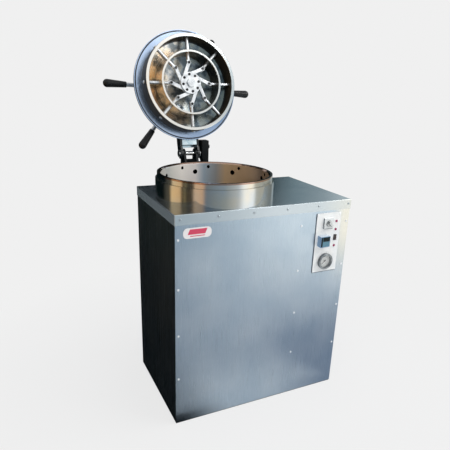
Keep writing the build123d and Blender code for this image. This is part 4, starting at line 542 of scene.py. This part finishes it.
def faced(name, bright, dark, roughness):
    """Stainless faced in circles round the lid's axis, with its colour, radius and height along the axis."""
    finish = new_finish(name, {"Metallic": 1.0})
    place = add(finish, "TexCoord").outputs["Object"]
    out = add(finish, "VectorMath", {0: place, 1: lid_middle}, operation="SUBTRACT")
    across = add(finish, "VectorMath", {0: out, 1: lid_axis}, operation="CROSS_PRODUCT")
    radius = add(finish, "VectorMath", {0: across}, operation="LENGTH")
    along = add(finish, "VectorMath", {0: out, 1: lid_axis}, operation="DOT_PRODUCT")
    # The real circles are 0.2 mm apart; these are 2.2 mm apart, so that they show.
    circle_spacing, circle_depth = 2.222 * mm, 0.2 * mm
    spot = add(finish, "CombineXYZ", {"X": radius, "Y": along})
    circles = add(finish, "TexNoise", {"Vector": spot, "Scale": 1 / circle_spacing, "Detail": 3})
    shade = cloud(finish, 90.9 * mm, 3, shades=[(0.35, dark), (0.65, bright)])
    spread = 0.05
    dull = add(finish, "ValToRGB", {"Fac": circles}, stops=greys(roughness - spread, roughness + spread))
    bump = add(finish, "Bump", {"Height": circles, "Strength": 0.1, "Distance": circle_depth})
    surface(finish, {"Roughness": dull, "Normal": bump})
    return finish, shade, radius, along


def from_left(finish, half_width):
    """How far each spot is from the lid's left, at 0, to its right, at 1."""
    across = add(finish, "SeparateXYZ", {"Vector": add(finish, "TexCoord").outputs["Object"]}).outputs["X"]
    return add(finish, "MapRange", {"Value": across, "From Min": lid_middle.x - half_width,
                                    "From Max": lid_middle.x + half_width})


lid_steel, shade, radius, along = faced("faced_stainless_lid", "#CCE0FC", "#B4CAE8", 0.24)
hollow_radius, least_downward = 189.5 * mm, -0.3
place = add(lid_steel, "TexCoord").outputs
facing = add(lid_steel, "VectorMath", {0: place["Normal"], 1: lid_axis}, operation="DOT_PRODUCT")
hollow = where(lid_steel, (facing, "LESS_THAN", least_downward), (radius, "LESS_THAN", hollow_radius))
share = from_left(lid_steel, 190 * mm)
# The hollow is painted from bright gold at the left to dark grey at the right, painted reflections and
# shade.
stain = add(lid_steel, "ValToRGB", {"Fac": share}, stops=[
    (0.0, "#FFE2B4"), (0.28, "#FFF6E6"), (0.5, "#8E9492"), (1.0, "#5A6A6A")])
# Dried water marks break up the hollow.
mark_width = 38.5 * mm
marks = add(lid_steel, "TexNoise", {"Vector": place["Object"], "Scale": 1 / mark_width, "Detail": 3})
marks = add(lid_steel, "ValToRGB", {"Fac": marks}, stops=[
    (0.40, "#95A2B1"), (0.48, "#DAE5F6"), (0.56, "#FFFFFF")])
stain = add(lid_steel, "Mix", {"Factor": 1.0, 6: stain, 7: marks}, data_type="RGBA", blend_type="MULTIPLY")
# The flange outside the ring is painted too, from white at one side to blue-grey at the other, a painted
# reflection.
tint = add(lid_steel, "ValToRGB", {"Fac": share}, stops=[
    (0.0, "#FFFFFF"), (0.45, "#E0E0E2"), (1.0, "#A0ACB6")])
shade = add(lid_steel, "Mix", {"Factor": 1.0, 6: shade, 7: tint}, data_type="RGBA", blend_type="MULTIPLY")
surface(lid_steel, {
    "Base Color": painted(lid_steel, shade, (hollow, stain)),
    "Metallic": add(lid_steel, "MapRange", {"Value": hollow, "To Min": 1.0, "To Max": 0.85})})
dress(lid_steel, "lid_plate")

# --- Plug and guide rings -----------------------------------------------------------------------
# Two stainless rings, faced with the lid and welded under it, whose holes carry the locking bolts.
# The plug ring's end is painted bright, a painted highlight, and its sides are a dull dark brown that hides
# the steel.

ring_steel, scale, radius, along = faced("faced_stainless_ring", "#40382A", "#22221E", 0.2)
plug_height, end_skin, inner_radius = 72 * mm, 0.6 * mm, 160 * mm
end_face = where(ring_steel, (along, "LESS_THAN", end_skin - wheel_level - plug_height))
share = from_left(ring_steel, 200 * mm)
# The end face is painted from cream at the left to grey at the right, a painted highlight.
rubbed = add(ring_steel, "ValToRGB", {"Fac": share}, stops=[
    (0.0, "#F6F2EA"), (0.5, "#E0E0DC"), (1.0, "#B4BEC2")])
# The inner ring is painted from gold at one side to grey at the other, a painted reflection, and still
# shines.
inner = where(ring_steel, (radius, "LESS_THAN", inner_radius))
gold = add(ring_steel, "ValToRGB", {"Fac": share}, stops=[
    (0.0, "#F6CC94"), (0.42, "#C8A070"), (0.62, "#5E5A50"), (1.0, "#363A38")])
tinted = add(ring_steel, "MapRange", {"Value": inner, "To Min": 0.25, "To Max": 0.9})
clean = add(ring_steel, "Math", {0: end_face, 1: inner}, operation="MAXIMUM")
surface(ring_steel, {
    "Base Color": painted(ring_steel, scale, (inner, gold), (end_face, rubbed)),
    "Metallic": add(ring_steel, "Math", {0: end_face, 1: tinted}, operation="MAXIMUM"),
    "Roughness": add(ring_steel, "MapRange", {"Value": clean, "To Min": 0.55, "To Max": 0.22})})
dress(ring_steel, "plug_ring", "guide_ring")

# --- Lid gasket ---------------------------------------------------------------------------------
# A moulded ring of black silicone rubber, pressed into a groove in the flange.
# It is dull, and uneven with the talc that keeps it from sticking.

rubber = new_finish("moulded_black_silicone", {"Roughness": 0.5, "Base Color": "#262D33"})
roughen(rubber, 5 * mm, 0.2, 0.3 * mm, detail=3)
dress(rubber, "lid_gasket")

# --- Locking mechanism --------------------------------------------------------------------------
# Ground stainless bolts, flat links and a spindle with two discs, pinned together inside the lid.
# They are the brightest metal on the machine, wiped with a little grease that leaves soft smears.

bolts = 8
ground_steel = new_finish("ground_stainless", {"Metallic": 1.0})
cloud(ground_steel, 25 * mm, 3, shades=[(0.3, "#BFC4C8"), (0.7, "#DDE0E2")], gloss=(0.22, 0.38))
dress(ground_steel, "drive_spindle", *(f"locking_bolt_{i + 1}" for i in range(bolts)),
      *(f"bolt_link_{i + 1}" for i in range(bolts)))

# --- Pin clips ----------------------------------------------------------------------------------
# A black spring clip is pushed onto each pin's end, where the link turns on it.
# Its steel is phosphated, which gives a coat of fine crystals that hardly reflects.

# The real crystals are 0.02 mm across; these are 0.7 mm, so that they show close to.
clip_steel = new_finish("phosphated_spring_steel", {
    "Roughness": 0.6, "Specular IOR Level": 0.3, "Base Color": "#0B0C0E"})
roughen(clip_steel, 0.667 * mm, 0.3, 0.1 * mm)


def turned_piece(name, profile, finish, body, place, corners=24):
    """A piece turned about its own Z from (radius, height) points, set at a place and riding on a body."""
    shape = bmesh.new()
    turns = [2 * math.pi * i / corners for i in range(corners)]
    rings = [[shape.verts.new((radius * math.cos(t), radius * math.sin(t), height)) for t in turns]
             for radius, height in profile]
    for lower, upper in zip(rings, rings[1:]):
        for i in range(corners):
            k = (i + 1) % corners
            shape.faces.new((lower[i], lower[k], upper[k], upper[i]))
    shape.faces.new(list(reversed(rings[0])))
    shape.faces.new(rings[-1])
    bmesh.ops.recalc_face_normals(shape, faces=shape.faces)
    piece = made_of(name, shape, finish)
    piece.matrix_world = place
    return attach(piece, body)


lid_right = Vector((1, 0, 0))
lid_back = lid_axis.cross(lid_right)
# The pins' radius from the spindle and their turn from the bolt, then each clip's depth, radius and height.
clips = (("hub_clip", 36 * mm, -54, 59.6 * mm, 5.6 * mm, 3 * mm),
         ("bolt_clip", 88 * mm, 0, 53.7 * mm, 6.7 * mm, 2.8 * mm))
for i in range(bolts):
    for (name, pin_radius, lag, depth, radius, height), body in zip(clips, ("wheel", f"bolt_{i + 1}")):
        turn = math.radians(360 / bolts * i + lag)
        across = math.cos(turn) * lid_right + math.sin(turn) * lid_back
        place = Matrix((lid_right, -lid_back, -lid_axis)).transposed().to_4x4()
        place.translation = lid_middle + pin_radius * across - (wheel_level + depth) * lid_axis
        bevelled = [(radius, 0), (radius, 0.6 * height), (0.88 * radius, height)]
        turned_piece(f"{name}_{i + 1}", bevelled, clip_steel, body, place)

# --- Handwheel ----------------------------------------------------------------------------------
# A turned steel hub with two bars pressed through it, satin from use, and a grip on each bar's end.
# The grips are moulded phenolic, black with a dull polish that hands have worn unevenly.

dress(satin, "handwheel")
phenolic = new_finish("moulded_phenolic", {"Specular IOR Level": 0.3, "Base Color": "#080A0C"})
cloud(phenolic, 12.5 * mm, 4, gloss=(0.25, 0.4))
dress(phenolic, "bar_grips")

# --- Studio -------------------------------------------------------------------------------------
# A pale floor under a pale sky, four lamps, and a curved card and four mats that only reflections see.
# The card is dark behind the left side and has warm strips, so that polished metal has something to show.

pale = "#F0F0F0"
ground = new_finish("studio_floor", {"Roughness": 0.9, "Base Color": "#EDEDED"})
matt = ground.node_tree.nodes["Principled BSDF"]
place = add(ground, "TexCoord").outputs["Object"]
reach = add(ground, "VectorMath", {0: place}, operation="LENGTH")
# The shadow shows near the object, and fades out so that the floor meets the sky without a line.
fade_start, fade_end, shadow_share = 0.5, 1.5, 0.16
share = add(ground, "MapRange", {"Value": reach, "From Min": fade_start, "From Max": fade_end,
                                 "To Min": shadow_share, "To Max": 0.0})
# Under the cabinet it is shaded in full, so that the machine is dark inside behind its vents.
low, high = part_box("cabinet_frame")
spot = add(ground, "SeparateXYZ", {"Vector": place}).outputs
under = where(ground, (spot["X"], "GREATER_THAN", low.x), (spot["X"], "LESS_THAN", high.x),
              (spot["Y"], "GREATER_THAN", low.y), (spot["Y"], "LESS_THAN", high.y))
share = add(ground, "Math", {0: share, 1: under}, operation="MAXIMUM")
glow = add(ground, "Emission", {"Color": pale, "Strength": 1.0})
blend = add(ground, "MixShader", {"Fac": share, 1: glow, 2: matt})
camera_ray = add(ground, "LightPath").outputs["Is Camera Ray"]
chosen = add(ground, "MixShader", {"Fac": camera_ray, 1: matt, 2: blend})
feed(ground, ground.node_tree.nodes["Material Output"], {"Surface": chosen})
floor_width = 60
bpy.ops.mesh.primitive_plane_add(size=floor_width)
floor = bpy.context.object
floor.name = "floor"
floor.data.materials.append(ground)

# The camera, mirrors and glass see the pale sky, and everything else is lit by a dimmer one.
world = bpy.data.worlds.new("pale_sky")
world.use_nodes = True
bpy.context.scene.world = world
sky = world.node_tree.nodes["Background"]
feed(world, sky, {"Color": pale})
lit = add(world, "Background", {"Color": "#F4F7FA", "Strength": 0.5})
rays = add(world, "LightPath").outputs
seen = 0.0
for kind in ("Is Camera Ray", "Is Glossy Ray", "Is Transmission Ray"):
    seen = add(world, "Math", {0: seen, 1: rays[kind]}, operation="ADD")
shown = add(world, "MixShader", {"Fac": seen, 1: lit, 2: sky})
feed(world, world.node_tree.nodes["World Output"], {"Surface": shown})


def glowing(name):
    """A finish that only glows, and the node that sets its colour."""
    finish = bpy.data.materials.new(name)
    finish.use_nodes = True
    finish.node_tree.nodes.remove(finish.node_tree.nodes["Principled BSDF"])
    glow = add(finish, "Emission")
    feed(finish, finish.node_tree.nodes["Material Output"], {"Surface": glow})
    return finish, glow


def only_reflected(piece):
    """Hides a piece from all but reflections."""
    piece.visible_camera = piece.visible_diffuse = piece.visible_shadow = False
    piece.visible_transmission = False


# Bearings, in degrees, run from the right by way of the back. Warm strips are at the left, and in front
# there is a window, which is brighter than white.
room_card, glow = glowing("room_card")
strips = [(0, "#D0CEC0"), (20, "#A0A49E"), (36, "#E4ECEA"), (43, "#A2B0B2"), (50, "#7E9296"),
          (56, "#2C3E42"), (66, "#0A1618"), (140, "#0A1618"), (150, "#52524A"), (159, "#5A5448"),
          (163, "#FFE2B4"), (182, "#F2CFA0"), (186, "#3A342C"), (191, "#8C8264"), (195, "#4A4438"),
          (205, "#5A5042"), (209, "#FFD8B0"), (222, "#F4C8A0"), (228, "#7E8C98"), (262, "#A2B2BE"),
          (286, "#DCE4E8"), (298, (1.55, 1.55, 1.5, 1)), (318, (1.55, 1.55, 1.5, 1)), (326, "#DCDACC"),
          (345, "#D0CEC0")]
spot = add(room_card, "SeparateXYZ", {"Vector": add(room_card, "TexCoord").outputs["Object"]}).outputs
turn = add(room_card, "Math", {0: spot["Y"], 1: spot["X"]}, operation="ARCTAN2")
share = add(room_card, "Math", {0: turn, 1: 2 * math.pi}, operation="DIVIDE")
share = add(room_card, "Math", {0: share}, operation="FRACT")
feed(room_card, glow, {"Color": add(room_card, "ValToRGB", {"Fac": share}, stops=[
    (bearing / 360, colour) for bearing, colour in strips])})
room_radius, room_height = 2.1, 1.8
shape = bmesh.new()
bmesh.ops.create_cone(shape, segments=96, radius1=room_radius, radius2=room_radius, depth=room_height)
bmesh.ops.translate(shape, vec=(0, 0, room_height / 2), verts=shape.verts)
only_reflected(made_of("reflected_room", shape, room_card))


def soft_mat(name, colour, span_x, span_y, fade, strength):
    """A mat with edges that fade out, to shade or light what mirrors the floor."""
    (left, right), (near, far) = span_x, span_y
    lift = 1 * mm
    finish, glow = glowing(name)
    feed(finish, glow, {"Color": colour})
    spot = add(finish, "SeparateXYZ", {"Vector": add(finish, "TexCoord").outputs["Object"]}).outputs
    shown = strength
    for axis, start, end in (("X", left, left + fade), ("X", right, right - fade),
                             ("Y", near, near + fade), ("Y", far, far - fade)):
        edge = add(finish, "MapRange", {"Value": spot[axis], "From Min": start, "From Max": end},
                   interpolation_type="SMOOTHSTEP")
        shown = add(finish, "Math", {0: shown, 1: edge}, operation="MULTIPLY")
    faded = add(finish, "MixShader", {"Fac": shown, 1: add(finish, "BsdfTransparent"), 2: glow})
    feed(finish, finish.node_tree.nodes["Material Output"], {"Surface": faded})
    shape = bmesh.new()
    shape.faces.new([shape.verts.new((x, y, lift)) for x, y in (
        (left, near), (right, near), (right, far), (left, far))])
    only_reflected(made_of(name, shape, finish))


soft_mat("black_mat", "#030C12", (-3.6, -0.1), (-0.85, 3.2), 0.28, 1.0)
soft_mat("blue_mat", "#44648A", (0.0, 1.6), (-1.1, 0.1), 0.42, 0.66)
soft_mat("left_mat", "#3C5A78", (-0.9, 0.4), (-2.1, -0.3), 0.4, 0.42)
soft_mat("bright_mat", (1.5, 1.48, 1.4, 1), (1.35, 2.5), (-2.8, -1.55), 0.35, 1.0)

lamps = (("key", (3.0, -1.1, 3.2), 2.0, 60), ("fill", (-2.4, -2.4, 2.6), 2.4, 30),
         ("overhead", (0, -0.3, 3.6), 1.6, 24), ("edge", (1.35, -1.75, 3.1), 0.5, 14))
aim = Vector((0, 0, 0.8))
for name, spot, size, power in lamps:
    lamp = bpy.data.lights.new(name, "AREA")
    lamp.size, lamp.energy = size, power
    holder = new_object(name, lamp)
    holder.location = spot
    holder.rotation_euler = (aim - Vector(spot)).to_track_quat("-Z", "Y").to_euler()
    # These two only light the room, so that flat steel doesn't mirror them as white squares.
    holder.visible_glossy = name not in ("fill", "overhead")

# --- Camera -------------------------------------------------------------------------------------
# A moderate lens from the front left, level with the open lid and looking down a little.
# Its frame is turned slightly, and set slightly off the lens's axis.

lens_centre = Vector((-0.9302, -1.7877, 1.3681))
swing, tip, roll = (math.radians(a) for a in (-26.93, 19.94, 2.26))
focal_px, frame_px, sensor = 477.37, 450, 36
optical_x, optical_y = 235.14, 249.65
back = Vector((math.sin(swing) * math.cos(tip), -math.cos(swing) * math.cos(tip), math.sin(tip)))
level = Vector((math.cos(swing), math.sin(swing), 0))
upright = back.cross(level)
right = math.cos(roll) * level + math.sin(roll) * upright
up = math.cos(roll) * upright - math.sin(roll) * level
camera = new_object("camera", bpy.data.cameras.new("camera"))
camera.data.sensor_width = sensor
camera.data.lens = focal_px * sensor / frame_px
camera.data.shift_x = (frame_px / 2 - optical_x) / frame_px
camera.data.shift_y = (optical_y - frame_px / 2) / frame_px
camera.matrix_world = Matrix((right, up, back)).transposed().to_4x4()
camera.location = lens_centre
bpy.context.scene.camera = camera
bpy.context.scene.view_settings.view_transform = "Standard"
